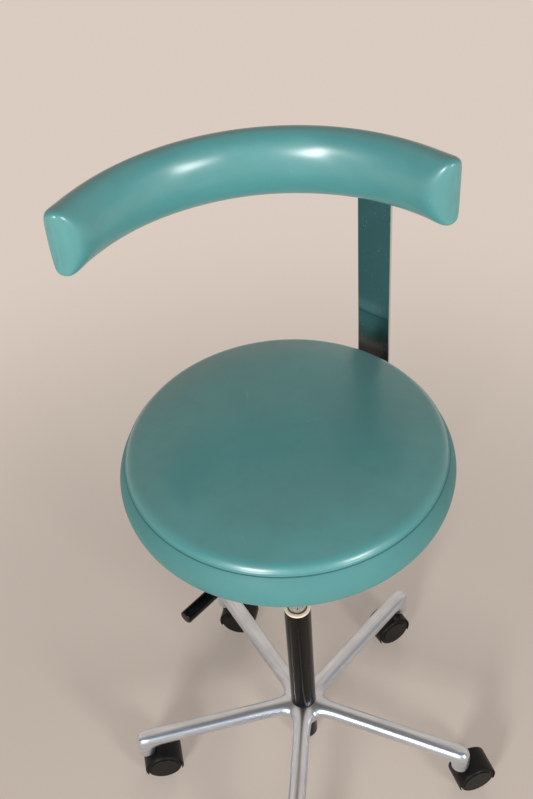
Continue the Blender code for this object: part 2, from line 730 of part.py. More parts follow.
def star_base():
    """Cast hub and arms: a coarse cage, rounded all over, with bores for the column and stems."""
    half = ARM_CAGE / 2
    up = Vector((0, 0, 1))
    corner = math.asin(half / HUB_CAGE_RADIUS)
    bm = bmesh.new()
    bm.edges.layers.float.new("crease_edge")
    plan = []
    for index in range(ARM_COUNT):
        for side in (-1, 1):
            bearing = arm_bearing(index) - side * corner
            plan.append(bm.verts.new(bearing_vector(bearing, HUB_CAGE_RADIUS, ARM_HEIGHT - half)))
    under = bm.faces.new(plan)
    block = bmesh.ops.extrude_face_region(bm, geom=[under])["geom"]
    risen = [item for item in block if isinstance(item, bmesh.types.BMVert)]
    bmesh.ops.translate(bm, verts=risen, vec=up * ARM_CAGE)
    bmesh.ops.recalc_face_normals(bm, faces=bm.faces)
    for index in range(ARM_COUNT):
        outward = bearing_vector(arm_bearing(index))
        stem = outward * STEM_CIRCLE
        root = HUB_CAGE_RADIUS * math.cos(corner)
        face = facing(bm.faces, outward, outward * root + up * ARM_HEIGHT)
        reach = root
        for stop in (FILLET_REACH, STEM_CIRCLE - BEND_REACH, STEM_CIRCLE - half, STEM_CIRCLE + half):
            face = push_face(bm, face, outward * (stop - reach))
            reach = stop
        bm.normal_update()
        below = facing(bm.faces, -up, stem + up * (ARM_HEIGHT - half))
        foot = push_face(bm, below, -up * (ARM_HEIGHT - half - SOCKET_BOTTOM))
        crease_rim(bm, foot)
    base = place("star_base", mesh_from("star_base", bm), "cast_aluminium")
    rounding = base.modifiers.new("cast_rounding", "SUBSURF")
    rounding.levels = 2
    rounding.render_levels = 2
    combine(base, rod_tool("hub_boss", HUB_BOSS_RADIUS, up * HUB_BOSS_BOTTOM, up * ARM_HEIGHT), "UNION")
    low = Vector((0, 0, 0))
    high = up * (ARM_HEIGHT + ARM_CAGE)
    combine(base, rod_tool("hub_bore", STAND_RADIUS + SEAT_GAP, low, high), "DIFFERENCE")
    for index in range(ARM_COUNT):
        stem = bearing_vector(arm_bearing(index), STEM_CIRCLE)
        mouth = stem + up * (SOCKET_BOTTOM - CUTTER_MARGIN / 4)
        end = stem + up * (SOCKET_BOTTOM + STEM_BORE_DEPTH)
        bore = rod_tool(f"stem_bore_{index + 1}", STEM_RADIUS + RUNNING_GAP, mouth, end, sides=SMALL_SIDES)
        combine(base, bore, "DIFFERENCE")


def wheel_profile():
    """Half of a wheel's section: bore, tread, dished cap and its ring groove."""
    flat = WHEEL_RADIUS / math.cos(math.pi / WHEEL_SIDES)
    bore = AXLE_RADIUS + RUNNING_GAP
    bore_end = WHEEL_OUTER_FACE - AXLE_COVER + SEAT_GAP
    rim = WHEEL_OUTER_FACE - CAP_GROOVE
    return [
        (0.0, WHEEL_OUTER_FACE),
        (CAP_RADIUS - CAP_GROOVE, WHEEL_OUTER_FACE),
        (CAP_RADIUS, rim - CAP_GROOVE / 2),
        (flat - 2 * TREAD_ROUND, rim),
        (flat, rim - TREAD_ROUND),
        (flat, WHEEL_INNER_FACE),
        (bore, WHEEL_INNER_FACE),
        (bore, bore_end),
        (0.0, bore_end),
    ]


def hood_profile():
    """Section of a caster's hood and web round its axle."""
    outer, wide, edge = HOOD_RADIUS, HOOD_HALF_WIDTH, HOOD_EDGE_ROUND
    inner = outer - HOOD_WALL
    bore = AXLE_RADIUS + SEAT_GAP
    return [
        (outer - edge, wide),
        (outer, wide - edge),
        (outer, edge - wide),
        (outer - edge, -wide),
        (inner, -wide),
        (inner, -HOOD_WEB),
        (bore, -HOOD_WEB),
        (bore, HOOD_WEB),
        (inner, HOOD_WEB),
        (inner, wide),
    ]


def caster(index):
    """One twin-wheel caster: hood, stem, axle and two wheels, set at its own bearing."""
    number = index + 1
    stem_place = bearing_vector(arm_bearing(index), STEM_CIRCLE)
    swivel = pivot(f"caster_axis_{number}", stem_place)
    swivel.rotation_euler.z = math.pi / 2 - CASTER_BEARINGS[index]
    axle_centre = Vector((CASTER_TRAIL, 0, WHEEL_RADIUS))
    lie_across = (math.pi / 2, 0, 0)
    hood = turned(f"caster_hood_{number}", hood_profile(), "black_nylon", swivel, HOOD_SIDES)
    hood.location = axle_centre
    hood.rotation_euler = lie_across
    boss = rod_tool(
        f"hood_boss_{number}",
        HOOD_WEB,
        Vector((0, 0, SKIRT_HEIGHT)),
        Vector((0, 0, HOOD_BOSS_TOP)),
        swivel,
    )
    combine(hood, boss, "UNION")
    open_side = 4 * HOOD_RADIUS
    below = Vector((CASTER_TRAIL, 0, SKIRT_HEIGHT - open_side / 2))
    skirt = box_tool(f"skirt_cut_{number}", (open_side, open_side, open_side), below, swivel)
    combine(hood, skirt, "DIFFERENCE")
    stem_foot = SKIRT_HEIGHT + SEAT_GAP
    bore = rod_tool(
        f"hood_stem_bore_{number}",
        STEM_RADIUS + SEAT_GAP,
        Vector((0, 0, SKIRT_HEIGHT - CUTTER_MARGIN)),
        Vector((0, 0, HOOD_BOSS_TOP + CUTTER_MARGIN)),
        swivel,
        SMALL_SIDES,
    )
    combine(hood, bore, "DIFFERENCE")
    stem_top = SOCKET_BOTTOM + STEM_BORE_DEPTH - SEAT_GAP
    stem_profile = [
        (0.0, stem_top),
        (STEM_RADIUS, stem_top),
        (STEM_RADIUS, STEM_COLLAR_BASE + STEM_COLLAR_THICKNESS),
        (STEM_COLLAR_RADIUS, STEM_COLLAR_BASE + STEM_COLLAR_THICKNESS),
        (STEM_COLLAR_RADIUS, STEM_COLLAR_BASE),
        (STEM_RADIUS, STEM_COLLAR_BASE),
        (STEM_RADIUS, stem_foot),
        (0.0, stem_foot),
    ]
    turned(f"caster_stem_{number}", stem_profile, "bright_steel", swivel, SMALL_SIDES)
    axle_end = WHEEL_OUTER_FACE - AXLE_COVER
    axle_profile = disc(AXLE_RADIUS, -axle_end, 2 * axle_end)
    axle = turned(f"caster_axle_{number}", axle_profile, "bright_steel", swivel, SMALL_SIDES)
    axle.location = axle_centre
    axle.rotation_euler = lie_across
    for side, turn in (("left", -1), ("right", 1)):
        wheel = turned(f"caster_wheel_{side}_{number}", wheel_profile(), "black_nylon", swivel, WHEEL_SIDES)
        wheel.location = axle_centre
        wheel.rotation_euler = (turn * math.pi / 2, 0, 0)


def bar_reach():
    """Distance from the column's axis to the bar, which stands against the back of the pad's former."""
    spoke = PAD_RADIUS + CORE_BACK_OFFSET + SEAT_GAP + BAR_THICKNESS / 2
    along = PAD_CENTRE.dot(bearing_vector(BAR_BEARING).to_2d())
    return along + math.sqrt(along ** 2 - PAD_CENTRE.length_squared + spoke ** 2)


def bar_outline():
    """Side view of the bar: under the seat, round its bend and up into the pad."""
    outer = bar_reach() + BAR_THICKNESS / 2
    inner = bar_reach() - BAR_THICKNESS / 2
    bend_centre = Vector((inner - BAR_BEND_RADIUS, BAR_LEG_TOP + BAR_BEND_RADIUS))
    line = [(SOCKET_RADIUS, BAR_LEG_TOP), (SOCKET_RADIUS, BAR_LEG_BOTTOM)]
    sweeps = ((BAR_BEND_RADIUS + BAR_THICKNESS, False), (BAR_BEND_RADIUS, True))
    for radius, back in sweeps:
        arc = []
        for step in range(BAR_BEND_STEPS + 1):
            angle = math.pi / 2 * step / BAR_BEND_STEPS
            arc.append((bend_centre.x + radius * math.sin(angle), bend_centre.y - radius * math.cos(angle)))
        if back:
            line += [(outer, BAR_TOP), (inner, BAR_TOP)] + arc[::-1]
        else:
            line += arc
    return line


def bar_frame():
    """Matrix whose X runs out along the bar's bearing and whose Y is up."""
    outward = bearing_vector(BAR_BEARING)
    up = Vector((0, 0, 1))
    frame = Matrix((outward, up, outward.cross(up))).transposed()
    return frame.to_4x4()


def pad_bolt_heights():
    """Heights of the two bolts that hold the bar in the pad."""
    return [PAD_MIDDLE - PAD_BOLT_SPACING / 2, PAD_MIDDLE + PAD_BOLT_SPACING / 2]


def bolt_tool(name, height, start, end):
    """Hole for one pad bolt, along the bar's bearing."""
    lift = Vector((0, 0, height))
    near = bearing_vector(BAR_BEARING, start) + lift
    far = bearing_vector(BAR_BEARING, end) + lift
    return rod_tool(name, PAD_BOLT_RADIUS + SEAT_GAP, near, far, sides=SMALL_SIDES)


def back_bar(axis):
    """Flat chrome bar bent to an L, with an eye that turns on the seat's socket."""
    curve = bpy.data.curves.new("back_bar_outline", "CURVE")
    curve.dimensions = "2D"
    curve.fill_mode = "BOTH"
    curve.extrude = BAR_WIDTH / 2
    outline = bar_outline()
    spline = curve.splines.new("POLY")
    spline.points.add(len(outline) - 1)
    for point, (reach, height) in zip(spline.points, outline):
        point.co = (reach, height, 0.0, 1.0)
    spline.use_cyclic_u = True
    guide = bpy.data.objects.new("back_bar_outline", curve)
    collection(CUTTERS_COLLECTION).objects.link(guide)
    bar = meshed("back_bar", guide, "chrome", axis)
    bar.matrix_local = bar_frame()
    low = Vector((0, 0, EYE_BOTTOM))
    high = Vector((0, 0, EYE_TOP))
    combine(bar, rod_tool("bar_eye", EYE_RADIUS, low, high, axis, FINE_SIDES), "UNION")
    margin = Vector((0, 0, CUTTER_MARGIN))
    combine(bar, rod_tool("bar_eye_bore", SOCKET_RUN, low - margin, high + margin, axis), "DIFFERENCE")
    for index, height in enumerate(pad_bolt_heights()):
        near = bar_reach() - BAR_THICKNESS
        far = bar_reach() + BAR_THICKNESS
        combine(bar, bolt_tool(f"bar_bolt_hole_{index + 1}", height, near, far), "DIFFERENCE")


def swing_stack():
    """Friction washers above and below the bar's eye, and the collar that keeps them up."""
    washer = SWING_WASHER_THICKNESS
    upper = ring(EYE_RADIUS, SOCKET_RUN, EYE_TOP + SEAT_GAP, washer)
    turned("swing_washer_upper", upper, "black_nylon")
    lower = ring(EYE_RADIUS, SOCKET_RUN, LOWER_WASHER_TOP - washer, washer)
    turned("swing_washer_lower", lower, "black_nylon")
    collar = ring(COLLAR_RADIUS, SOCKET_RUN, COLLAR_TOP - COLLAR_HEIGHT, COLLAR_HEIGHT)
    turned("swing_collar", collar, "bright_steel")


def pad_point(arc, radial, height):
    """World point of the back pad from its arc angle, distance off its middle line and height."""
    spoke = PAD_RADIUS + radial
    plan = PAD_CENTRE + Vector((math.sin(arc), math.cos(arc))) * spoke
    return Vector((plan.x, plan.y, PAD_MIDDLE + height))


def rounded_power(value, power):
    """Signed power, for the pad's squarish oval section."""
    return math.copysign(abs(value) ** power, value)


def pad_stations(inset):
    """Arc angles along the pad with how far each lies from the nearer end, up to the taper's length."""
    start = PAD_START + inset / PAD_RADIUS
    end = PAD_END - inset / PAD_RADIUS
    turns = [math.pi / 2 * step / PAD_END_STEPS for step in range(PAD_END_STEPS + 1)]
    tips = [PAD_END_TAPER * (1 - math.cos(turn)) for turn in turns]
    stations = [(start + along / PAD_RADIUS, along) for along in tips]
    first = stations[-1][0]
    last = end - PAD_END_TAPER / PAD_RADIUS
    for step in range(1, PAD_SPAN_STEPS):
        stations.append((first + (last - first) * step / PAD_SPAN_STEPS, PAD_END_TAPER))
    stations += [(end - along / PAD_RADIUS, along) for along in reversed(tips)]
    return stations


def rounding(along, reach):
    """Share of its full size that a rounded end has at a distance from its tip."""
    return math.sqrt(1 - max(0.0, 1 - along / reach) ** 2)


def end_share(arc):
    """How strongly each end of the pad is felt at an arc angle, 0 away from it and 1 at it."""
    at_start = max(0.0, 1 - (arc - PAD_START) * PAD_RADIUS / PAD_FLARE_REACH)
    at_end = max(0.0, 1 - (PAD_END - arc) * PAD_RADIUS / PAD_FLARE_REACH)
    return at_start ** 2, at_end ** 2


def pad_flare(arc, height):
    """Arc angle by which an end's corners are pulled past its middle."""
    at_start, at_end = end_share(arc)
    return PAD_CORNER_FLARE * (2 * height / PAD_HEIGHT) ** 2 / PAD_RADIUS * (at_end - at_start)


def pad_solid(name, inset, finish, parent):
    """Crowned bolster swept round its arc, rounded to an upright nose at each end."""
    bm = bmesh.new()
    rings = []
    for arc, along in pad_stations(inset):
        fullness = rounding(along, PAD_END_TAPER)
        half_thick = PAD_NOSE + (PAD_THICKNESS / 2 - PAD_NOSE) * fullness - inset
        half_high = PAD_HEIGHT / 2 - PAD_END_ROUND * (1 - rounding(along, PAD_END_ROUND)) - inset
        shift = PAD_NOSE_SHIFT * (1 - fullness)
        loop = []
        for step in range(PAD_SECTION_POINTS):
            turn = 2 * math.pi * (step + 0.5) / PAD_SECTION_POINTS
            radial = half_thick * rounded_power(math.cos(turn), 2 / PAD_SQUARENESS) + shift
            height = half_high * rounded_power(math.sin(turn), 2 / PAD_SQUARENESS)
            loop.append(bm.verts.new(pad_point(arc + pad_flare(arc, height), radial, height)))
        rings.append(loop)
    for near, far in zip(rings, rings[1:]):
        for step in range(PAD_SECTION_POINTS):
            bm.faces.new((near[step - 1], near[step], far[step], far[step - 1]))
    bm.faces.new(rings[0])
    bm.faces.new(reversed(rings[-1]))
    bmesh.ops.recalc_face_normals(bm, faces=bm.faces)
    return place(name, mesh_from(name, bm, math.radians(60)), finish, parent)


def core_solid(name, grow, finish, parent):
    """Bent plywood former, or the pocket for it where it is grown."""
    margin = (CORE_END_MARGIN - grow) / PAD_RADIUS
    front = CORE_BACK_OFFSET - CORE_THICKNESS - grow
    back = CORE_BACK_OFFSET + grow
    half = CORE_HEIGHT / 2 + grow
    bm = bmesh.new()
    corners = ((front, -half), (back, -half), (back, half), (front, half))
    face = bm.faces.new([bm.verts.new(pad_point(PAD_START + margin, *corner)) for corner in corners])
    sweep = PAD_END - PAD_START - 2 * margin
    bmesh.ops.spin(
        bm,
        geom=[face, *face.edges, *face.verts],
        cent=PAD_CENTRE.to_3d(),
        axis=(0, 0, -1),
        angle=sweep,
        steps=CORE_STEPS,
    )
    bmesh.ops.remove_doubles(bm, verts=bm.verts, dist=MERGE_DISTANCE)
    bmesh.ops.recalc_face_normals(bm, faces=bm.faces)
    return place(name, mesh_from(name, bm), finish, parent)


def bar_pocket(name, gap):
    """Room for the bar's upper end inside the pad."""
    base = PAD_MIDDLE - PAD_HEIGHT / 2 - CUTTER_MARGIN
    top = BAR_TOP + gap
    size = (BAR_WIDTH + 2 * gap, BAR_THICKNESS + 2 * gap, top - base)
    centre = bearing_vector(BAR_BEARING, bar_reach(), (top + base) / 2)
    return box_tool(name, size, centre, turn=BAR_BEARING)


def head_pocket(name):
    """Room behind the bar for the heads of the pad's bolts."""
    depth = PAD_BOLT_HEAD_HEIGHT + 2 * FOAM_GAP
    reach = bar_reach() + BAR_THICKNESS / 2 + depth / 2
    width = 2 * PAD_BOLT_HEAD_RADIUS + 2 * FOAM_GAP
    size = (width, depth + FOAM_GAP, PAD_BOLT_SPACING + width)
    centre = bearing_vector(BAR_BEARING, reach, PAD_MIDDLE)
    return box_tool(name, size, centre, turn=BAR_BEARING)


def back_pad(axis):
    """Plywood former, foam and vinyl cover, bolted to the bar."""
    core = core_solid("pad_core", 0.0, "plywood", axis)
    combine(core, bar_pocket("core_bar_seat", SEAT_GAP), "DIFFERENCE")
    bolt_tip = bar_reach() - BAR_THICKNESS / 2 - CORE_THICKNESS
    for index, height in enumerate(pad_bolt_heights()):
        hole = bolt_tool(f"core_bolt_hole_{index + 1}", height, bolt_tip - CUTTER_MARGIN, bar_reach())
        combine(core, hole, "DIFFERENCE")
    foam = pad_solid("pad_foam", COVER_THICKNESS + 2 * FOAM_GAP, "foam", axis)
    combine(foam, as_tool(core_solid("core_pocket", FOAM_GAP, "foam", axis)), "DIFFERENCE")
    combine(foam, bar_pocket("foam_bar_slot", FOAM_GAP), "DIFFERENCE")
    combine(foam, head_pocket("foam_head_pocket"), "DIFFERENCE")
    cover = pad_solid("pad_cover", 0.0, "teal_vinyl", axis)
    combine(cover, as_tool(pad_solid("cover_inside", COVER_THICKNESS, "teal_vinyl", axis)), "DIFFERENCE")
    combine(cover, bar_pocket("cover_bar_slot", SLOT_GAP), "DIFFERENCE")
    shank = CORE_THICKNESS / 2 + BAR_THICKNESS
    for index, height in enumerate(pad_bolt_heights()):
        profile = [
            (0.0, PAD_BOLT_HEAD_HEIGHT),
            (PAD_BOLT_HEAD_RADIUS, PAD_BOLT_HEAD_HEIGHT),
            (PAD_BOLT_HEAD_RADIUS, 0.0),
            (PAD_BOLT_RADIUS, 0.0),
            (PAD_BOLT_RADIUS, -shank),
            (0.0, -shank),
        ]
        bolt = turned(f"pad_bolt_{index + 1}", profile, "bright_steel", axis, SMALL_SIDES)
        seat = bar_reach() + BAR_THICKNESS / 2 + SEAT_GAP
        bolt.location = bearing_vector(BAR_BEARING, seat, height)
        bolt.rotation_euler = bearing_vector(BAR_BEARING).to_track_quat("Z", "Y").to_euler()


def main():
    """Build the stool."""
    clear_scene()
    star_base()
    for index in range(ARM_COUNT):
        caster(index)
    column()
    gas_spring()
    seat_plate()
    lever()
    seat_board()
    seat_screws()
    seat_cushion()
    seat_cover()
    swing_axis = pivot("backrest_axis", (0, 0, 0))
    back_bar(swing_axis)
    swing_stack()
    back_pad(swing_axis)


main()
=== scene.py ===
"""Looks of a swivel stool with a curved backrest: fine meshes, finishes and a studio.

Metres, +Z up, in the frame of the packed stool. The floor is z = 0, the column stands on the
Z axis and the front is -Y. Plan bearings are measured from the back (+Y) towards the right (+X).
"""

import json
import math

import bmesh
import bpy
from bpy.props import FloatProperty, FloatVectorProperty, PointerProperty
from mathutils import Matrix, Vector


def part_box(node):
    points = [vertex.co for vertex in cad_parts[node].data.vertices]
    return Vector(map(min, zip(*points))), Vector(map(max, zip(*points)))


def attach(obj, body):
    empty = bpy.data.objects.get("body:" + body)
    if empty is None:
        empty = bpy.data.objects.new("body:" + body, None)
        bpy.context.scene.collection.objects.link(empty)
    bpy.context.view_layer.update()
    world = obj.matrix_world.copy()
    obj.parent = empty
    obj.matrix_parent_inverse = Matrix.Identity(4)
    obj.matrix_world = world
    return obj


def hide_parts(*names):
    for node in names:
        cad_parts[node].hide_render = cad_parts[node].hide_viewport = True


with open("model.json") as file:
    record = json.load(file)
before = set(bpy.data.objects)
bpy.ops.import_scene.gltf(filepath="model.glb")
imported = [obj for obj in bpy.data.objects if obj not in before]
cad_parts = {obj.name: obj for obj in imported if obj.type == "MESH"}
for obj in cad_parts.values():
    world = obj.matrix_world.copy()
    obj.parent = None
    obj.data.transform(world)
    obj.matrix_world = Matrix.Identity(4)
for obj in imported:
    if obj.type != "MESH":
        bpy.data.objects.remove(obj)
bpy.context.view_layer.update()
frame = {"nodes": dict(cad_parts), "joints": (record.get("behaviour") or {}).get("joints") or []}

bl_info = {
    "name": "Swivel Stool Looks",
    "version": (1, 0, 0),
    "blender": (4, 5, 0),
    "location": "View3D > Sidebar > Stool",
    "description": "Dresses the packed swivel stool with fine meshes, finishes and a studio",
    "category": "Object",
}

JOINTS = {joint["name"]: joint for joint in frame["joints"]}
UP = Vector((0, 0, 1))
ARM_COUNT = 5
GAP = 0.0003
MERGE_DISTANCE = 0.000002
SMOOTH_ANGLE = math.radians(32)
SHARP_ANGLE = math.radians(28)

# Facets round turned pieces
FINE = 96
MEDIUM = 64
SMALL = 32


def low(node):
    """Lowest corner of a packed node."""
    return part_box(node)[0]


def high(node):
    """Highest corner of a packed node, whose x is the radius of one turned about the column."""
    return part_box(node)[1]


def joint_place(name):
    """Place of a joint."""
    return Vector(JOINTS[name]["pos_m"])


# Settings that a user would change


def length(name, description, default):
    """Length property in metres."""
    return FloatProperty(name=name, description=description, default=default, unit="LENGTH", precision=4)


def angle(name, description, degrees):
    """Angle property with its default given in degrees."""
    return FloatProperty(
        name=name, description=description, default=math.radians(degrees), subtype="ANGLE"
    )


def number(name, description, default):
    """Plain number property."""
    return FloatProperty(name=name, description=description, default=default)


def power(name, description, default):
    """Power property in watts."""
    return FloatProperty(name=name, description=description, default=default, unit="POWER")


def tint(name, description, default):
    """Colour property, linear."""
    return FloatVectorProperty(
        name=name, description=description, default=default, subtype="COLOR", min=0.0, max=1.0
    )


def point(name, description, default):
    """Place in metres, with as many parts as its default."""
    return FloatVectorProperty(
        name=name,
        description=description,
        default=default,
        size=len(default),
        subtype="TRANSLATION",
        unit="LENGTH",
        precision=4,
    )


class SeatSizes(bpy.types.PropertyGroup):
    """Sizes of the seat cushion."""

    seam_height: length("Seam height", "Height of the seam round the seat", high("seat_side_band").z)
    seam_radius: length("Seam radius", "Radius of the seam", high("seat_top_panel").x)
    shoulder_radius: length("Shoulder radius", "Rounding of the top's edge", 0.016)
    shoulder_lean: angle("Shoulder lean", "Slope of the shoulder where it meets the seam", 82)
    crown_lean: angle("Crown lean", "Slope of the crown where it meets the shoulder", 15)
    crown_power: number("Crown power", "Power of the crown's fall: higher is flatter", 5.0)
    bulge_radius: length("Bulge radius", "Widest radius of the side band", high("seat_side_band").x)
    bulge_drop: length("Bulge drop", "How far the widest place lies under the seam", 0.0265)
    bottom: length("Bottom", "Height of the cover's underside", low("seat_side_band").z)
    foot_radius: length("Foot radius", "Radius at which the band turns under the board", 0.184)
    hem_radius: length("Hem radius", "Radius of the cover's edge under the board", 0.168)
    hem: length("Hem", "Thickness of the cover under the board", 0.0013)
    groove_depth: length("Groove depth", "How deep the seam is drawn in", 0.0017)
    groove_width: length("Groove width", "Width of the seam's valley", 0.0013)


class PadSizes(bpy.types.PropertyGroup):
    """Sizes of the back pad."""

    centre: point("Centre", "Plan centre of the pad's arc", (0.001, -0.044))
    radius: length("Radius", "Radius of the pad's middle line", 0.261)
    middle: length("Middle", "Height of the pad's middle", 0.919)
    height: length("Height", "Height of the pad", 0.088)
    thickness: length("Thickness", "Thickness of the pad, front to back", 0.050)
    start: angle("Left end", "Bearing of the pad's left end from its centre", -63.3)
    end: angle("Right end", "Bearing of the pad's right end from its centre", 51.4)
    squareness: number("Squareness", "Power of the section's oval", 2.05)
    end_taper: length("End taper", "Length over which the pad thins towards an end", 0.036)
    end_round: length("End round", "Rounding of the ends' top and bottom corners", 0.0075)
    nose: length("Nose", "Half thickness of the upright nose at each end", 0.0080)
    nose_shift: length("Nose shift", "How far behind the middle line the noses lie", 0.004)
    end_squareness: number("End squareness", "What the ends add to the power of the section's oval", 0.8)
    end_pinch: length("End pinch", "How far the ends are drawn in at half height", 0.0020)
    corner_flare: length("Corner flare", "How far the ends' corners stand out", 0.004)
    flare_reach: length("Flare reach", "Length of pad over which the flare fades", 0.030)


class BarSizes(bpy.types.PropertyGroup):
    """Sizes of the bar that carries the pad."""

    width: length("Width", "Width of the flat bar", 0.045)
    thickness: length("Thickness", "Thickness of the flat bar", 0.005)
    bearing: angle("Bearing", "Plan bearing of the bar", 32.8)
    reach: length("Reach", "Distance from the column's axis to the bar's middle", 0.2342)
    bend_radius: length("Bend radius", "Inner radius of the bar's bend", 0.018)
    edge_round: length("Edge round", "Rounding of the bar's long edges", 0.0009)
    eye_bore: length("Eye bore", "Radius of the hole in the bar's eye", 0.0203)


class BaseSizes(bpy.types.PropertyGroup):
    """Sizes of the cast base."""

    first_bearing: angle("First arm", "Plan bearing of the first arm", 187.03)
    arm_height: length("Arm height", "Height of the arms' middle line", 0.087)
    arm_cage: length("Arm cage", "Width of the cage that rounds to an arm", 0.028)
    hub_cage: length("Hub cage", "Radius of the cage that rounds to the hub", 0.036)
    fillet_reach: length("Fillet reach", "Distance at which the webs run out into the arms", 0.062)
    bend_reach: length("Bend reach", "Length over which an arm turns down", 0.030)
    boss_radius: length("Boss radius", "Radius of the hub's lower boss", 0.027)
    boss_bottom: length("Boss bottom", "Height of the boss's underside", 0.062)


class CasterSizes(bpy.types.PropertyGroup):
    """Sizes of one twin-wheel caster."""

    wheel_radius: length("Wheel radius", "Radius of a wheel", 0.0265)
    inner_face: length("Inner face", "Distance of a wheel's inner face from the middle", 0.0072)
    outer_face: length("Outer face", "Distance of a wheel's outer face from the middle", 0.0212)
    tread_round: length("Tread round", "Rounding of the tread's outer edge", 0.0026)
    cap_radius: length("Cap radius", "Radius of the wheel's flat cap", 0.0222)
    groove: length("Groove", "Width and depth of the ring round the cap", 0.0010)
    hood_radius: length("Hood radius", "Outer radius of the hood", 0.0297)
    hood_wall: length("Hood wall", "Thickness of the hood", 0.0018)
    hood_half_width: length("Hood half width", "Half of the hood's width", 0.0200)
    hood_web: length("Hood web", "Half thickness of the web between the wheels", 0.0065)
    hood_round: length("Hood round", "Rounding of the hood's long edges", 0.0022)
    boss_radius: length("Boss radius", "Radius of the hood's boss round the stem", 0.0068)
    axle_bore: length("Axle bore", "Radius of the axle's hole", 0.0033)
    stem_radius: length("Stem radius", "Radius of the stem", 0.004)
    collar_radius: length("Collar radius", "Radius of the stem's collar", 0.009)


class LeverSizes(bpy.types.PropertyGroup):
    """Sizes of the release lever."""

    tip: point("Tip", "Plan place of the grip's outer end", (-0.1283, -0.1764))
    bend: point("Bend", "Plan place of the rod's bend", (-0.0205, -0.0655))
    bend_reach: length("Bend reach", "Length of rod that the bend takes up on each side", 0.018)
    rod_radius: length("Rod radius", "Radius of the rod", 0.004)
    nose: point("Nose", "Length, width and height of the rod's flat nose", (0.036, 0.010, 0.010))
    nose_overhang: length("Nose overhang", "How far the nose reaches past the column's axis", 0.006)
    eye_radius: length("Eye radius", "Radius of the pivot's hole", 0.0028)
    grip_radius: length("Grip radius", "Radius of the grip", 0.0078)
    grip_length: length("Grip length", "Length of the grip", 0.095)
    grip_round: length("Grip round", "Rounding of the grip's ends", 0.0016)
    slot_width: length("Slot width", "Width of the lever's slot in the drum", 0.014)
    slot_height: length("Slot height", "Height of the lever's slot in the drum", 0.022)


class FinishColours(bpy.types.PropertyGroup):
    """Colours of the finishes, linear."""

    vinyl: tint("Vinyl", "Upholstery", (0.084, 0.312, 0.312))
    aluminium: tint("Aluminium", "Polished casting of the base", (0.80, 0.86, 0.94))
    enamel: tint("Enamel", "Stand tube", (0.006, 0.005, 0.004))
    chrome: tint("Chrome", "Back bar and gas spring", (0.66, 0.68, 0.69))
    steel: tint("Steel", "Plate, lever and fasteners", (0.52, 0.53, 0.54))
    cream: tint("Cream", "Guide bush and bearing cage", (0.96, 0.86, 0.68))
    nylon: tint("Nylon", "Casters and washers", (0.0072, 0.0070, 0.0068))
    phenolic: tint("Phenolic", "Lever grip", (0.003, 0.003, 0.0032))
    foam: tint("Foam", "Foam inside the cushions", (0.72, 0.64, 0.40))
    plywood: tint("Plywood", "Seat board and pad former", (0.48, 0.33, 0.18))
    floor: tint("Floor", "Plain pale floor and backdrop", (0.70, 0.60, 0.525))


class StudioSettings(bpy.types.PropertyGroup):
    """Camera and light."""

    camera: point("Camera", "Place of the camera", (0.0, -0.92734, 1.6165))
    pitch: angle("Pitch", "How far the camera looks down", 43.478)
    yaw: angle("Yaw", "How far the camera looks to the right", -1.159)
    roll: angle("Roll", "How far the camera leans", -4.773)
    lens: FloatProperty(name="Lens", description="Focal length", default=50.0, unit="CAMERA")
    left_lamp: point("Left lamp", "Place of the left lamp", (-1.37, -3.22, 1.45))
    left_power: power("Left power", "Power of the left lamp", 89.0)
    right_lamp: point("Right lamp", "Place of the right lamp", (2.10, -2.80, 1.45))
    right_power: power("Right power", "Power of the right lamp", 58.0)
    rear_lamp: point("Rear lamp", "Place of the wide lamp behind the stool", (0.70, 2.60, 1.15))
    rear_power: power("Rear power", "Power of the wide lamp behind the stool", 16.0)
    lamp_size: length("Lamp size", "Side of the two square lamps in front", 0.80)
    rear_size: length("Rear lamp size", "Side of the wide lamp behind", 1.2)
    fill: number("Fill", "Strength of the even light from all round", 0.22)


SETTINGS = {
    "stool_seat": SeatSizes,
    "stool_pad": PadSizes,
    "stool_bar": BarSizes,
    "stool_base": BaseSizes,
    "stool_caster": CasterSizes,
    "stool_lever": LeverSizes,
    "stool_colours": FinishColours,
    "stool_studio": StudioSettings,
}


# Node trees


class Link:
    """Output socket of a node tree that takes part in Python arithmetic."""

    def __init__(self, tree, socket):
        self.tree = tree
        self.socket = socket

    def sum(self, operation, first, second):
        """Math node on two values."""
        return self.tree.node("ShaderNodeMath", {0: first, 1: second}, operation=operation)

    def __add__(self, other):
        return self.sum("ADD", self, other)

    __radd__ = __add__

    def __sub__(self, other):
        return self.sum("SUBTRACT", self, other)

    def __rsub__(self, other):
        return self.sum("SUBTRACT", other, self)

    def __mul__(self, other):
        return self.sum("MULTIPLY", self, other)

    __rmul__ = __mul__

    def __pow__(self, other):
        return self.sum("POWER", self, other)

    def between(self, start, stop):
        """Smooth step from 0 at one value to 1 at another."""
        sockets = {"Value": self, "From Min": start, "From Max": stop}
        return self.tree.node("ShaderNodeMapRange", sockets, interpolation_type="SMOOTHSTEP")


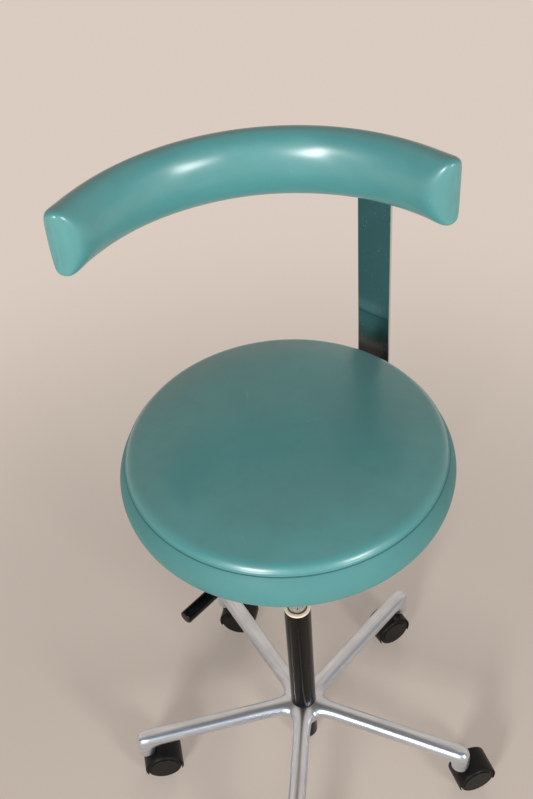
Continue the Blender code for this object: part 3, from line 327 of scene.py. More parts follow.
class Tree:
    """Node tree of a material or a world, built up node by node."""

    def __init__(self, owner):
        owner.use_nodes = True
        self.nodes = owner.node_tree.nodes
        self.links = owner.node_tree.links
        self.nodes.clear()

    def node(self, kind, sockets=None, output=0, **settings):
        """Add a node: its settings first, then the values or links of its sockets."""
        made = self.nodes.new(kind)
        for name, value in settings.items():
            setattr(made, name, value)
        for key, value in (sockets or {}).items():
            if isinstance(value, Link):
                self.links.new(value.socket, made.inputs[key])
            else:
                made.inputs[key].default_value = value
        return Link(self, made.outputs[output]) if made.outputs else None

    def place(self):
        """Object coordinates."""
        return self.node("ShaderNodeTexCoord", output="Object")

    def noise(self, place, scale, detail=2.0, roughness=0.5):
        """Cloudy pattern."""
        sockets = {"Vector": place, "Scale": scale, "Detail": detail, "Roughness": roughness}
        return self.node("ShaderNodeTexNoise", sockets)

    def streaks(self, place, scale, detail=2.0, roughness=0.5, turn=0.0):
        """Cloudy pattern with its own scale along each axis, turned in plan."""
        sockets = {"Vector": place, "Rotation": (0.0, 0.0, turn), "Scale": scale}
        return self.noise(self.node("ShaderNodeMapping", sockets), 1.0, detail, roughness)

    def cells(self, place, scale):
        """Distance to the middle of the nearest cell."""
        return self.node("ShaderNodeTexVoronoi", {"Vector": place, "Scale": scale})

    def mix(self, share, first, second):
        """Colour between two colours."""
        colours = {0: share, 6: opaque(first), 7: opaque(second)}
        return self.node("ShaderNodeMix", colours, 2, data_type="RGBA")

    def parts(self, vector):
        """The three parts of a vector."""
        outputs = self.node("ShaderNodeSeparateXYZ", {0: vector}).socket.node.outputs
        return [Link(self, output) for output in outputs]

    def column_distance(self, place):
        """Distance from the column's axis, and height."""
        right, back, height = self.parts(place)
        return (right * right + back * back) ** 0.5, height

    def spokes(self, place, fine, long, high):
        """Coordinates drawn out along the spokes of a wheel round the column's axis."""
        right, back, height = self.parts(place)
        bearing = right.sum("ARCTAN2", back, right)
        radius = self.column_distance(place)[0]
        sockets = {0: bearing * fine, 1: radius * long, 2: height * high}
        return self.node("ShaderNodeCombineXYZ", sockets)

    def bump(self, height, strength, distance):
        """Normal that follows a height pattern."""
        sockets = {"Height": height, "Strength": strength, "Distance": distance}
        return self.node("ShaderNodeBump", sockets)

    def surface(self, sockets):
        """Principled shader on the material's output."""
        shader = self.node("ShaderNodeBsdfPrincipled", sockets)
        self.node("ShaderNodeOutputMaterial", {"Surface": shader})


def opaque(colour):
    """Colour with full alpha, or a link as it is."""
    return colour if isinstance(colour, Link) else (*tuple(colour)[:3], 1.0)


def shade(colour, factor):
    """Colour made lighter or darker."""
    return tuple(min(1.0, part * factor) for part in colour)


# Finishes, one for each material slot of the stool


def vinyl(tree, place, colour):
    """Smooth upholstery vinyl with a faint grain, dulled patches, rubbed marks, and painted shade in the
    seam's groove and on the side band below it.
    """
    seat = bpy.context.scene.stool_seat
    radius, height = tree.column_distance(place)
    cloud = tree.noise(place, 7.0, 3.0).between(0.3, 0.7)
    mottle = tree.noise(place, 55.0, 4.0)
    patch = tree.noise(place, 5.0, 1.0).between(0.48, 0.62)
    marks = tree.streaks(place, (30.0, 9.0, 9.0), 6.0, 0.65, 0.6).between(0.66, 0.74) * patch
    fleck = 1.0 - tree.cells(place, 110.0).between(0.05, 0.11)
    fleck = fleck * tree.noise(place, 16.0, 2.0).between(0.62, 0.70)
    off_seam = ((radius - seat.seam_radius) ** 2.0 + (height - seat.seam_height) ** 2.0) ** 0.5
    seam = 1.0 - off_seam.between(seat.groove_width * 0.45, seat.groove_width * 1.3)
    dull = 1.0 - off_seam.between(seat.shoulder_radius * 0.1, seat.shoulder_radius * 0.5)
    band = 1.0 - height.between(seat.seam_height - seat.groove_width, seat.seam_height)
    base = tree.mix(cloud, shade(colour, 0.93), shade(colour, 1.05))
    base = tree.mix(mottle.between(0.45, 0.8) * 0.35, base, shade(colour, 0.84))
    base = tree.mix(marks * 0.28, base, shade(colour, 2.2))
    base = tree.mix(fleck * 0.5, base, shade(colour, 2.4))
    # Painted shade: the side band below the seam is darkened in place of the lower light it gets; the same
    # mask also makes the band's gloss duller.
    base = tree.mix(band * 0.45, base, shade(colour, 0.55))
    # Painted shade in the seam's groove: a thin dark line along the seam circle.
    base = tree.mix(seam * 0.8, base, shade(colour, 0.18))
    grain = tree.cells(place, 700.0) * 0.6 + tree.noise(place, 1500.0, 2.0) * 0.4
    worn = cloud * 0.06 + marks * 0.12 + mottle * 0.05
    tree.surface({
        "Base Color": base,
        "Roughness": 0.40 + worn + band * 0.2 + dull * 0.1,
        "Normal": tree.bump(grain, 0.10, 0.0002),
        "Coat Weight": (0.95 - band * 0.8) * (1.0 - dull * 0.7),
        "Coat Roughness": 0.25,
    })


def aluminium(tree, place, colour):
    """Polished casting: soft streaks of wear along the arms, tiny pits and a little tarnish."""
    cloud = tree.noise(place, 26.0, 4.0)
    fine = tree.noise(place, 420.0, 3.0)
    pits = 1.0 - tree.cells(place, 260.0).between(0.05, 0.16)
    pits = pits * tree.noise(place, 34.0, 1.0).between(0.5, 0.68)
    streak = tree.noise(tree.spokes(place, 70.0, 9.0, 260.0), 1.0, 4.0, 0.6).between(0.35, 0.68)
    base = tree.mix(cloud.between(0.35, 0.7), colour, shade(colour, 0.88))
    base = tree.mix(streak * 0.42, base, shade(colour, 0.55))
    base = tree.mix(pits * 0.5, base, shade(colour, 0.35))
    tree.surface({
        "Base Color": base,
        "Metallic": 1.0,
        "Roughness": 0.25 + cloud * 0.10 + fine * 0.05 + streak * 0.05,
        "Normal": tree.bump(fine * 0.5 - pits, 0.08, 0.0003),
    })


def enamel(tree, place, colour):
    """Glossy black enamel with the faint waviness of a sprayed coat."""
    wave = tree.streaks(place, (160.0, 160.0, 14.0), 3.0)
    dust = tree.noise(place, 700.0, 2.0).between(0.66, 0.76)
    tree.surface({
        "Base Color": tree.mix(dust * 0.3, colour, (0.06, 0.055, 0.05)),
        "Roughness": 0.10 + wave * 0.10 + dust * 0.2,
        "Specular IOR Level": 0.14,
        "Normal": tree.bump(wave, 0.05, 0.0004),
    })


# Heights between which the painted dark reflection low on the bar's inner face fades in and out, and its
# depth at that face
DARK_REFLECTION_TOP = (0.628, 0.678)
DARK_REFLECTION_FOOT = (0.590, 0.605)
DARK_REFLECTION_FRONT = (-0.01, -0.005)
DARK_REFLECTION_DEPTH = (0.0004, 0.0012)


def chrome(tree, place, colour):
    """Bright plating with fine scratches and specks, and a painted dark reflection low on the bar's inner
    face.
    """
    bar = bpy.context.scene.stool_bar
    height = tree.parts(place)[2]
    outward = {0: place, 1: plan_vector(bar.bearing)}
    reach = tree.node("ShaderNodeVectorMath", outward, "Value", operation="DOT_PRODUCT")
    inside = reach - (bar.reach - bar.thickness / 2)
    painted_dark_reflection = inside.between(*DARK_REFLECTION_FRONT) * (1.0 - inside.between(*DARK_REFLECTION_DEPTH))
    painted_dark_reflection = painted_dark_reflection * height.between(*DARK_REFLECTION_FOOT) * (1.0 - height.between(*DARK_REFLECTION_TOP))
    scratch = tree.streaks(place, (900.0, 900.0, 22.0), 3.0).between(0.58, 0.78)
    speck = 1.0 - tree.cells(place, 330.0).between(0.06, 0.17)
    speck = speck * tree.noise(place, 45.0, 2.0).between(0.48, 0.62)
    haze = tree.noise(place, 18.0, 3.0)
    base = tree.mix(speck * 0.5, colour, shade(colour, 1.3))
    # Painted reflection: the lower inner face of the bar is darkened almost to black in place of the shaded
    # seat band and gap that it mirrors; the same mask also roughens it.
    base = tree.mix(painted_dark_reflection * 0.97, base, shade(colour, 0.05))
    tree.surface({
        "Base Color": base,
        "Metallic": 1.0,
        "Roughness": 0.045 + haze * 0.06 + scratch * 0.16 + speck * 0.5 + painted_dark_reflection * 0.2,
        "Normal": tree.bump(scratch - speck, 0.03, 0.0002),
    })


def steel(tree, place, colour):
    """Bright zinc or turned steel, faintly ringed and dulled."""
    radius, height = tree.column_distance(place)
    section = tree.node("ShaderNodeCombineXYZ", {0: radius * 900.0, 2: height * 900.0})
    rings = tree.noise(section, 1.0, 2.0)
    cloud = tree.noise(place, 40.0, 4.0)
    tree.surface({
        "Base Color": tree.mix(cloud.between(0.4, 0.75), colour, shade(colour, 0.72)),
        "Metallic": 1.0,
        "Roughness": 0.24 + cloud * 0.14 + rings * 0.08,
        "Normal": tree.bump(rings, 0.06, 0.0002),
    })


BORE_DARK_REACH = (0.0004, 0.0022)


def cream(tree, place, colour):
    """Moulded cream plastic, yellowed, turning darker brown towards the bore."""
    radius = tree.column_distance(place)[0]
    bore = high("pressure_tube").x
    bore_darkening = 1.0 - radius.between(bore + BORE_DARK_REACH[0], bore + BORE_DARK_REACH[1])
    smear = tree.noise(place, 260.0, 3.0)
    base = tree.mix(tree.noise(place, 90.0, 3.0), colour, shade(colour, 0.86))
    # Darker brown in a narrow ring round the bore, next to the gas spring tube.
    base = tree.mix(bore_darkening * (0.45 + smear * 0.5), base, (0.16, 0.09, 0.04))
    tree.surface({
        "Base Color": base,
        "Roughness": 0.34 + smear * 0.12,
        "Normal": tree.bump(smear, 0.04, 0.0002),
        "Subsurface Weight": 0.08,
        "Subsurface Radius": (0.002, 0.0015, 0.001),
    })


def nylon(tree, place, colour):
    """Moulded black nylon, matt, with pale dust and a fine texture."""
    cloud = tree.noise(place, 90.0, 4.0, 0.6)
    dust = cloud.between(0.5, 0.78)
    spark = tree.noise(place, 1800.0, 2.0)
    tree.surface({
        "Base Color": tree.mix(dust * 0.3, colour, (0.032, 0.029, 0.026)),
        "Roughness": 0.34 + dust * 0.22 + spark * 0.08,
        "Specular IOR Level": 0.18,
        "Normal": tree.bump(spark * 0.5 + cloud, 0.12, 0.0003),
    })


def phenolic(tree, place, colour):
    """Glossy black moulding with hair scratches from use."""
    hair = tree.streaks(place, (60.0, 900.0, 900.0), turn=0.8).between(0.66, 0.78)
    smudge = tree.noise(place, 70.0, 3.0)
    tree.surface({
        "Base Color": tree.mix(hair * 0.25, colour, (0.03, 0.03, 0.03)),
        "Roughness": 0.06 + smudge * 0.06 + hair * 0.15,
        "Specular IOR Level": 0.16,
        "Normal": tree.bump(hair, 0.03, 0.0002),
    })


def foam(tree, place, colour):
    """Open-celled cut foam."""
    cells = tree.cells(place, 900.0)
    tree.surface({
        "Base Color": tree.mix(cells, shade(colour, 0.7), colour),
        "Roughness": 0.9 + cells * 0.1,
        "Normal": tree.bump(cells, 0.5, 0.001),
    })


def plywood(tree, place, colour):
    """Rotary-cut veneer with long streaks of grain."""
    figure = tree.streaks(place, (9.0, 120.0, 120.0), 5.0, 0.6)
    pores = tree.streaks(place, (60.0, 1500.0, 1500.0)).between(0.6, 0.75)
    base = tree.mix(figure.between(0.3, 0.7), shade(colour, 0.78), shade(colour, 1.12))
    base = tree.mix(pores * 0.4, base, shade(colour, 0.45))
    tree.surface({
        "Base Color": base,
        "Roughness": 0.62 + figure * 0.15,
        "Normal": tree.bump(figure - pores, 0.15, 0.0005),
    })


FINISHES = {
    "teal_vinyl": vinyl,
    "cast_aluminium": aluminium,
    "black_enamel": enamel,
    "chrome": chrome,
    "bright_steel": steel,
    "cream_plastic": cream,
    "black_nylon": nylon,
    "black_phenolic": phenolic,
    "foam": foam,
    "plywood": plywood,
}


def finish(slot):
    """Material for one of the stool's slots, made on first use."""
    name = f"finish_{slot}"
    found = bpy.data.materials.get(name)
    if found is None:
        found = bpy.data.materials.new(name)
        tree = Tree(found)
        colour = getattr(bpy.context.scene.stool_colours, FINISHES[slot].__name__)
        FINISHES[slot](tree, tree.place(), colour)
    return found


# Modelling


def loose_object(name, bm):
    """Object in the scene from a bmesh, which is used up."""
    mesh = bpy.data.meshes.new(name)
    bm.to_mesh(mesh)
    bm.free()
    made = bpy.data.objects.new(name, mesh)
    bpy.context.scene.collection.objects.link(made)
    return made


def rounded(made, level):
    """Give an object a subdivision modifier."""
    step = made.modifiers.new("soft", "SUBSURF")
    step.levels = level
    step.render_levels = level


def piece(name, bm, slot, body, *nodes, soft=False):
    """Finished piece of the stool that rides on a body and stands for packed nodes."""
    made = loose_object(name, bm)
    made.data.materials.append(finish(slot))
    made.data.shade_smooth()
    if soft:
        rounded(made, 1)
    else:
        made.data.set_sharp_from_angle(angle=SMOOTH_ANGLE)
        made.modifiers.new("flat_faces", "WEIGHTED_NORMAL").keep_sharp = True
    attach(made, body)
    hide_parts(*nodes)
    return made


def drop(made):
    """Remove a helper object and its mesh."""
    mesh = made.data
    bpy.data.objects.remove(made, do_unlink=True)
    bpy.data.meshes.remove(mesh)


def carved(bm, *cuts, level=0):
    """Solid rounded by subdivision and then cut or joined, exactly, by other solids."""
    target = loose_object("carved", bm)
    if level:
        rounded(target, level)
    tools = []
    for operation, tool_bm in cuts:
        tools.append(loose_object("tool", tool_bm))
        step = target.modifiers.new(operation.lower(), "BOOLEAN")
        step.operation = operation
        step.solver = "EXACT"
        step.object = tools[-1]
    graph = bpy.context.evaluated_depsgraph_get()
    mesh = bpy.data.meshes.new_from_object(target.evaluated_get(graph))
    result = bmesh.new()
    result.from_mesh(mesh)
    bpy.data.meshes.remove(mesh)
    for helper in (target, *tools):
        drop(helper)
    return result


def sealed(bm):
    """Merge doubled vertices and turn every face outwards."""
    bmesh.ops.remove_doubles(bm, verts=bm.verts, dist=MERGE_DISTANCE)
    bmesh.ops.recalc_face_normals(bm, faces=bm.faces)
    return bm


def filled(bm):
    """Close every open rim with a face and turn every face outwards."""
    bmesh.ops.holes_fill(bm, edges=[edge for edge in bm.edges if edge.is_boundary], sides=0)
    bmesh.ops.recalc_face_normals(bm, faces=bm.faces)
    return bm


def relaxed(bm, verts):
    """Draw some vertices towards their neighbours."""
    bmesh.ops.smooth_vert(bm, verts=verts, factor=0.5, use_axis_x=True, use_axis_y=True, use_axis_z=True)


def moved(bm, place):
    """Carry a bmesh to its place by a matrix."""
    bmesh.ops.transform(bm, matrix=place, verts=bm.verts)
    return bm


def bevelled(bm, edges, width, segments):
    """Round some edges of a solid."""
    bmesh.ops.bevel(
        bm,
        geom=edges,
        offset=width,
        offset_type="OFFSET",
        affect="EDGES",
        segments=segments,
        profile=0.5,
        material=-1,
        clamp_overlap=True,
    )
    return bm


def soften(bm, width, segments=2, sharper=SHARP_ANGLE):
    """Round the edges of a solid that are sharper than an angle."""
    edges = [edge for edge in bm.edges if edge.is_manifold and edge.calc_face_angle() > sharper]
    return bevelled(bm, edges, width, segments)


def spun(profile, facets):
    """Solid turned about Z from (radius, height) points, closed on the axis or into a ring."""
    bm = bmesh.new()
    line = [bm.verts.new((radius, 0.0, height)) for radius, height in profile]
    ends = list(zip(line, line[1:]))
    if profile[0][0] > 0:
        ends.append((line[-1], line[0]))
    edges = [bm.edges.new(pair) for pair in ends]
    bmesh.ops.spin(
        bm, geom=line + edges, cent=(0, 0, 0), axis=UP, angle=math.tau, steps=facets, use_merge=True
    )
    return sealed(bm)


def turned(profile, facets, edge, segments=2, sharper=SHARP_ANGLE):
    """Solid turned about Z with its edges rounded."""
    return soften(spun(profile, facets), edge, segments, sharper)


def ring(outer, inner, base, top):
    """Section of a plain ring."""
    return [(outer, top), (outer, base), (inner, base), (inner, top)]


def quarter(steps):
    """Sine and cosine at even steps of a quarter turn."""
    turns = [math.pi / 2 * step / steps for step in range(steps + 1)]
    return [(math.sin(turn), math.cos(turn)) for turn in turns]


def lying(direction, place):
    """Matrix whose Z runs in a direction, at a place."""
    return Matrix.Translation(place) @ direction.to_track_quat("Z", "Y").to_matrix().to_4x4()


def axes(ahead, centre):
    """Matrix whose X runs ahead in plan and whose Z is up, at a centre."""
    side = UP.cross(ahead)
    return Matrix.Translation(centre) @ Matrix((ahead, side, UP)).transposed().to_4x4()


def rod(radius, start, end, facets=SMALL):
    """Closed cylinder between two points."""
    span = end - start
    bm = bmesh.new()
    bmesh.ops.create_cone(
        bm,
        cap_ends=True,
        segments=facets,
        radius1=radius,
        radius2=radius,
        depth=span.length,
        matrix=lying(span, (start + end) / 2),
    )
    return bm


def block(size, place):
    """Closed box of a size, set by a matrix."""
    bm = bmesh.new()
    bmesh.ops.create_cube(bm, size=1.0, matrix=place @ Matrix.Diagonal((*size, 1.0)))
    return bm


def plan_vector(bearing, distance=1.0, height=0.0):
    """Point at a plan bearing from the column's axis."""
    return Vector((distance * math.sin(bearing), distance * math.cos(bearing), height))


def only(kind, items):
    """The vertices, edges or faces of an operator's result."""
    return [item for item in items if isinstance(item, kind)]


def pushed(bm, face, shift):
    """Extrude an end face along and return the new end face."""
    grown = bmesh.ops.extrude_face_region(bm, geom=[face, *face.edges, *face.verts])["geom"]
    bmesh.ops.translate(bm, verts=only(bmesh.types.BMVert, grown), vec=shift)
    return only(bmesh.types.BMFace, grown)[0]


def swung(bm, face, centre, axis, sweep, steps):
    """Sweep an end face round an axis and return the new end face."""
    geometry = [face, *face.edges, *face.verts]
    last = bmesh.ops.spin(bm, geom=geometry, cent=centre, axis=axis, angle=sweep, steps=steps)
    return only(bmesh.types.BMFace, last["geom_last"])[0]


# Padded covers

PUFF_FRAMES = 20
PUFF_PRESSURE = 4.0


def puffed(bm, held, slack, limit):
    """Slacken a padded cover, then swell it by cloth pressure, its seams held and every move limited."""
    bm.verts.ensure_lookup_table()
    bm.normal_update()
    free = [vert for vert in bm.verts if not held(vert.co)]
    fixed = [vert.index for vert in bm.verts if held(vert.co)]
    for vert in free:
        vert.co -= vert.normal * slack
    scene = bpy.context.scene
    trial = loose_object("cover_trial", bm.copy())
    group = trial.vertex_groups.new(name="held")
    group.add(fixed, 1.0, "REPLACE")
    cloth = trial.modifiers.new("cover", "CLOTH")
    cloth.settings.vertex_group_mass = group.name
    cloth.settings.use_pressure = True
    cloth.settings.uniform_pressure_force = PUFF_PRESSURE
    cloth.settings.effector_weights.gravity = 0.0
    cloth.collision_settings.use_collision = False
    cloth.point_cache.frame_end = PUFF_FRAMES
    for step in range(1, PUFF_FRAMES + 1):
        scene.frame_set(step)
    swollen = trial.evaluated_get(bpy.context.evaluated_depsgraph_get()).data
    for vert in free:
        move = swollen.vertices[vert.index].co - vert.co
        if move.length > limit:
            move.length = limit
        vert.co += move
    scene.frame_set(1)
    drop(trial)
    relaxed(bm, free)


CROWN_STEPS = 22
SHOULDER_STEPS = 14
SWELL_STEPS = 8
ROLL_STEPS = 10
SEAM_SHARE = 0.98
SEAT_SLACK = 0.0005
SEAT_PUFF = 0.0009


def shoulder_point(seat, lean):
    """Radius and height of the seat's shoulder where it leans by an angle."""
    across = math.sin(seat.shoulder_lean) - math.sin(lean)
    above = math.cos(lean) - math.cos(seat.shoulder_lean)
    return seat.seam_radius - seat.shoulder_radius * across, seat.seam_height + seat.shoulder_radius * above


def seat_profile(seat):
    """Half section of the cushion: crown, shoulder, seam, band, hem and the hollow for the board."""
    seam_radius, seam_height = seat.seam_radius, seat.seam_height
    edge_radius, edge_height = shoulder_point(seat, seat.crown_lean)
    rise = edge_radius * math.tan(seat.crown_lean) / seat.crown_power
    line = []
    for share, _ in quarter(CROWN_STEPS)[:-1]:
        line.append((edge_radius * share, edge_height + rise * (1 - share ** seat.crown_power)))
    for step in range(SHOULDER_STEPS):
        lean = seat.crown_lean + (seat.shoulder_lean - seat.crown_lean) * step / SHOULDER_STEPS
        line.append(shoulder_point(seat, lean))
    half = seat.groove_width / 2
    floor = seam_radius - seat.groove_depth
    line += [
        (seam_radius - half / 2, seam_height + half),
        (floor, seam_height + half / 4),
        (floor, seam_height - half / 4),
        (seam_radius + half / 4, seam_height - half),
    ]
    swell = seat.bulge_radius - seam_radius
    for step in range(1, SWELL_STEPS):
        share = step / SWELL_STEPS
        radius = seam_radius + swell * math.sin(math.pi / 2 * share)
        line.append((radius, seam_height - seat.bulge_drop * share))
    roll_top = seam_height - seat.bulge_drop
    for down, out in quarter(ROLL_STEPS):
        radius = seat.foot_radius + (seat.bulge_radius - seat.foot_radius) * out
        line.append((radius, roll_top - (roll_top - seat.bottom) * down))
    board = high("seat_board")
    inside, ceiling, hem_top = board.x + GAP, board.z + GAP, seat.bottom + seat.hem
    line += [(seat.hem_radius, seat.bottom), (seat.hem_radius, hem_top)]
    line += [(inside, hem_top), (inside, ceiling), (0.0, ceiling)]
    return line


class STOOL_OT_seat_cushion(bpy.types.Operator):
    """Make the round seat cushion with its seam and swell its cover"""

    bl_idname = "stool.seat_cushion"
    bl_label = "Seat Cushion"

    def execute(self, context):
        seat = context.scene.stool_seat
        bm = spun(seat_profile(seat), FINE)
        hidden_radius = seat.foot_radius + GAP
        hidden_height = high("seat_board").z + 2 * GAP

        def hidden(place):
            """Hem and the hollow round the board."""
            return place.to_2d().length < hidden_radius and place.z < hidden_height

        def held(place):
            """Seam, hem and hollow."""
            near_seam = abs(place.z - seat.seam_height) < 2 * seat.groove_width
            return hidden(place) or (near_seam and place.to_2d().length > SEAM_SHARE * seat.seam_radius)

        crease = bm.edges.layers.float.new("crease_edge")
        for edge in bm.edges:
            if all(hidden(vert.co) for vert in edge.verts):
                edge[crease] = 1.0
        puffed(bm, held, SEAT_SLACK, SEAT_PUFF)
        nodes = ("seat_foam", "seat_top_panel", "seat_side_band")
        cushion = piece("seat_cushion", bm, "teal_vinyl", "seat", *nodes, soft=True)
        return {"FINISHED"}


PAD_SECTION = 48
PAD_SPAN_STEPS = 40
PAD_TIP_STEPS = 12
END_FLOW = 3
CORNER_POWER = 3
NOSE_CLOSING = (0.85, 0.45)
NOSE_SMOOTHING = 4
PAD_SLACK = 0.0004
PAD_PUFF = 0.0008


def signed_power(value, power):
    """Power that keeps a number's sign, for the pad's squarish oval section."""
    return math.copysign(abs(value) ** power, value)


def rounding(along, reach, power=2):
    """Share of its full size that a form has at a distance from an end that it rounds off to."""
    return math.sqrt(1 - max(0.0, 1 - along / reach) ** power)


def pad_stations(pad):
    """Arc angle of each ring of the pad, its distance from the nearer end and how far it is closed."""
    tip = [(0.0, share) for share in NOSE_CLOSING]
    tip += [(pad.end_taper * (1 - out), 0.0) for _, out in quarter(PAD_TIP_STEPS)]
    stations = [(pad.start + along / pad.radius, along, drawn) for along, drawn in tip]
    first = pad.start + pad.end_taper / pad.radius
    last = pad.end - pad.end_taper / pad.radius
    for step in range(1, PAD_SPAN_STEPS):
        stations.append((first + (last - first) * step / PAD_SPAN_STEPS, pad.end_taper, 0.0))
    stations += [(pad.end - along / pad.radius, along, drawn) for along, drawn in reversed(tip)]
    return stations


def flare_share(pad, arc):
    """How strongly each end of the pad is felt at an arc angle, 0 away from it and 1 at it."""
    at_start = max(0.0, 1 - (arc - pad.start) * pad.radius / pad.flare_reach)
    at_end = max(0.0, 1 - (pad.end - arc) * pad.radius / pad.flare_reach)
    return at_start ** 2, at_end ** 2


def pad_place(pad, turn, arc, along, drawn):
    """Place of the cover at a turn round its section, for one ring of the pad."""
    at_start, at_end = flare_share(pad, arc)
    near = at_start + at_end
    fullness = rounding(along, pad.end_taper, END_FLOW)
    pinch = pad.end_pinch * near * math.cos(turn) ** 2
    half_thick = (pad.nose - pinch + (pad.thickness / 2 - pad.nose) * fullness) * (1 - drawn)
    half_high = pad.height / 2 - pad.end_round * (1 - rounding(along, pad.end_round)) - pad.nose * drawn
    power = 2 / (pad.squareness + pad.end_squareness * near)
    radial = half_thick * signed_power(math.cos(turn), power)
    height = half_high * signed_power(math.sin(turn), power)
    corner = pad.corner_flare * abs(2 * height / pad.height) ** CORNER_POWER
    arc += corner / pad.radius * (at_end - at_start)
    spoke = pad.radius + radial + pad.nose_shift * (1 - fullness)
    return Vector((
        pad.centre[0] + spoke * math.sin(arc),
        pad.centre[1] + spoke * math.cos(arc),
        pad.middle + height,
    ))


def pad_cover(pad):
    """Cover drawn out ring by ring along its arc and closed at both noses."""
    bm = bmesh.new()
    turns = bm.verts.layers.float.new("turn")
    stations = pad_stations(pad)
    rim = bmesh.ops.create_circle(bm, segments=PAD_SECTION, radius=1.0)["verts"]
    for index, vert in enumerate(rim):
        vert[turns] = math.tau * (index + 0.5) / PAD_SECTION
        vert.co = pad_place(pad, vert[turns], *stations[0])
    edges = list(bm.edges)
    for station in stations[1:]:
        grown = bmesh.ops.extrude_edge_only(bm, edges=edges)["geom"]
        ring_verts = set(only(bmesh.types.BMVert, grown))
        for vert in ring_verts:
            vert.co = pad_place(pad, vert[turns], *station)
        edges = [edge for edge in only(bmesh.types.BMEdge, grown) if ring_verts.issuperset(edge.verts)]
    return filled(bm)


class STOOL_OT_back_pad(bpy.types.Operator):
    """Make the curved back pad with its upright noses and swell its cover"""

    bl_idname = "stool.back_pad"
    bl_label = "Back Pad"

    def execute(self, context):
        pad = context.scene.stool_pad
        bm = pad_cover(pad)
        margin = pad.end_round / pad.radius

        def held(place):
            """Both noses, where the cover is drawn together."""
            bearing = math.atan2(place.x - pad.centre[0], place.y - pad.centre[1])
            return bearing < pad.start + margin or bearing > pad.end - margin

        noses = [vert for vert in bm.verts if held(vert.co)]
        for _ in range(NOSE_SMOOTHING):
            relaxed(bm, noses)
        puffed(bm, held, PAD_SLACK, PAD_PUFF)
        cushion = piece("back_pad", bm, "teal_vinyl", "backrest", "pad_cover", "pad_foam", soft=True)
        return {"FINISHED"}


# Back bar

BEND_STEPS = 18
BAR_SHARP = math.radians(50)
EYE_EDGE = 0.0006
EYE_MARGIN = 0.02


def eye_heights():
    """Underside and top of the bar's eye."""
    return low("back_bar").z, low("swing_washer_upper").z - GAP


def bar_strip(bar):
    """Flat bar from under the seat, round its bend and up into the pad."""
    leg_bottom = (sum(eye_heights()) - bar.thickness) / 2
    outward = plan_vector(bar.bearing)
    across = outward.cross(UP)
    start = bar.eye_bore + GAP
    bend_start = bar.reach - bar.thickness / 2 - bar.bend_radius
    bm = bmesh.new()
    section = []
    for side, level in ((-1, 0), (1, 0), (1, 1), (-1, 1)):
        lift = UP * (leg_bottom + level * bar.thickness)
        section.append(bm.verts.new(outward * start + across * side * bar.width / 2 + lift))
    end = pushed(bm, bm.faces.new(section), outward * (bend_start - start))
    bend_centre = outward * bend_start + UP * (leg_bottom + bar.thickness + bar.bend_radius)
    end = swung(bm, end, bend_centre, across, math.pi / 2, BEND_STEPS)
    pushed(bm, end, UP * (high("back_bar").z - end.calc_center_median().z))
    return soften(sealed(bm), bar.edge_round, 3, BAR_SHARP)


class STOOL_OT_back_bar(bpy.types.Operator):
    """Make the chrome bar that carries the pad, with its eye under the seat"""

    bl_idname = "stool.back_bar"
    bl_label = "Back Bar"

    def execute(self, context):
        bar = context.scene.stool_bar
        base, top = eye_heights()
        radius = high("swing_washer_upper").x
        eye = turned([(0.0, top), (radius, top), (radius, base), (0.0, base)], FINE, EYE_EDGE)
        bore = rod(bar.eye_bore, UP * (base - EYE_MARGIN), UP * (top + EYE_MARGIN), FINE)
        bm = carved(bar_strip(bar), ("UNION", eye), ("DIFFERENCE", bore))
        piece("chrome_back_bar", bm, "chrome", "backrest", "back_bar")
        return {"FINISHED"}


# Base and column

# Heights between which the column's bore is cut
HUB_BORE = (0.02, 0.2)
BOSS_EDGE = 0.002
SOCKET_MARGIN = 0.005
STEM_BORE_DEPTH = 0.036
STEM_COLLAR = 0.003
FACING_SHARE = 0.9
CAGE_LEVEL = 4


def facing(faces, direction, beside):
    """The face that looks most nearly in a direction, of those nearest a point."""
    level = [face for face in faces if face.normal.dot(direction) > FACING_SHARE]
    return min(level, key=lambda face: (face.calc_center_median() - beside).length)


def stretched_face(bm, face, shift):
    """Extrude one face of a cage and return the new face."""
    grown = bmesh.ops.extrude_discrete_faces(bm, faces=[face])["faces"][0]
    bmesh.ops.translate(bm, verts=grown.verts, vec=shift)
    return grown


def base_cage(base):
    """Coarse cage of the hub and arms, with the socket rims creased."""
    half = base.arm_cage / 2
    corner = math.asin(half / base.hub_cage)
    stem = joint_place("caster_swivel_1").to_2d().length
    bearings = [base.first_bearing - index * math.tau / ARM_COUNT for index in range(ARM_COUNT)]
    bm = bmesh.new()
    crease = bm.edges.layers.float.new("crease_edge")
    plan = []
    for bearing in bearings:
        for side in (-1, 1):
            spot = plan_vector(bearing - side * corner, base.hub_cage, base.arm_height - half)
            plan.append(bm.verts.new(spot))
    pushed(bm, bm.faces.new(plan), UP * base.arm_cage)
    bmesh.ops.recalc_face_normals(bm, faces=bm.faces)
    for bearing in bearings:
        outward = plan_vector(bearing)
        reach = base.hub_cage * math.cos(corner)
        face = facing(bm.faces, outward, outward * reach + UP * base.arm_height)
        for stop in (base.fillet_reach, stem - base.bend_reach, stem - half, stem + half):
            face = stretched_face(bm, face, outward * (stop - reach))
            reach = stop
        bm.normal_update()
        below = facing(bm.faces, -UP, outward * stem + UP * (base.arm_height - half))
        foot = stretched_face(bm, below, -UP * (base.arm_height - half - low("star_base").z))
        for edge in foot.edges:
            edge[crease] = 1.0
    return bm


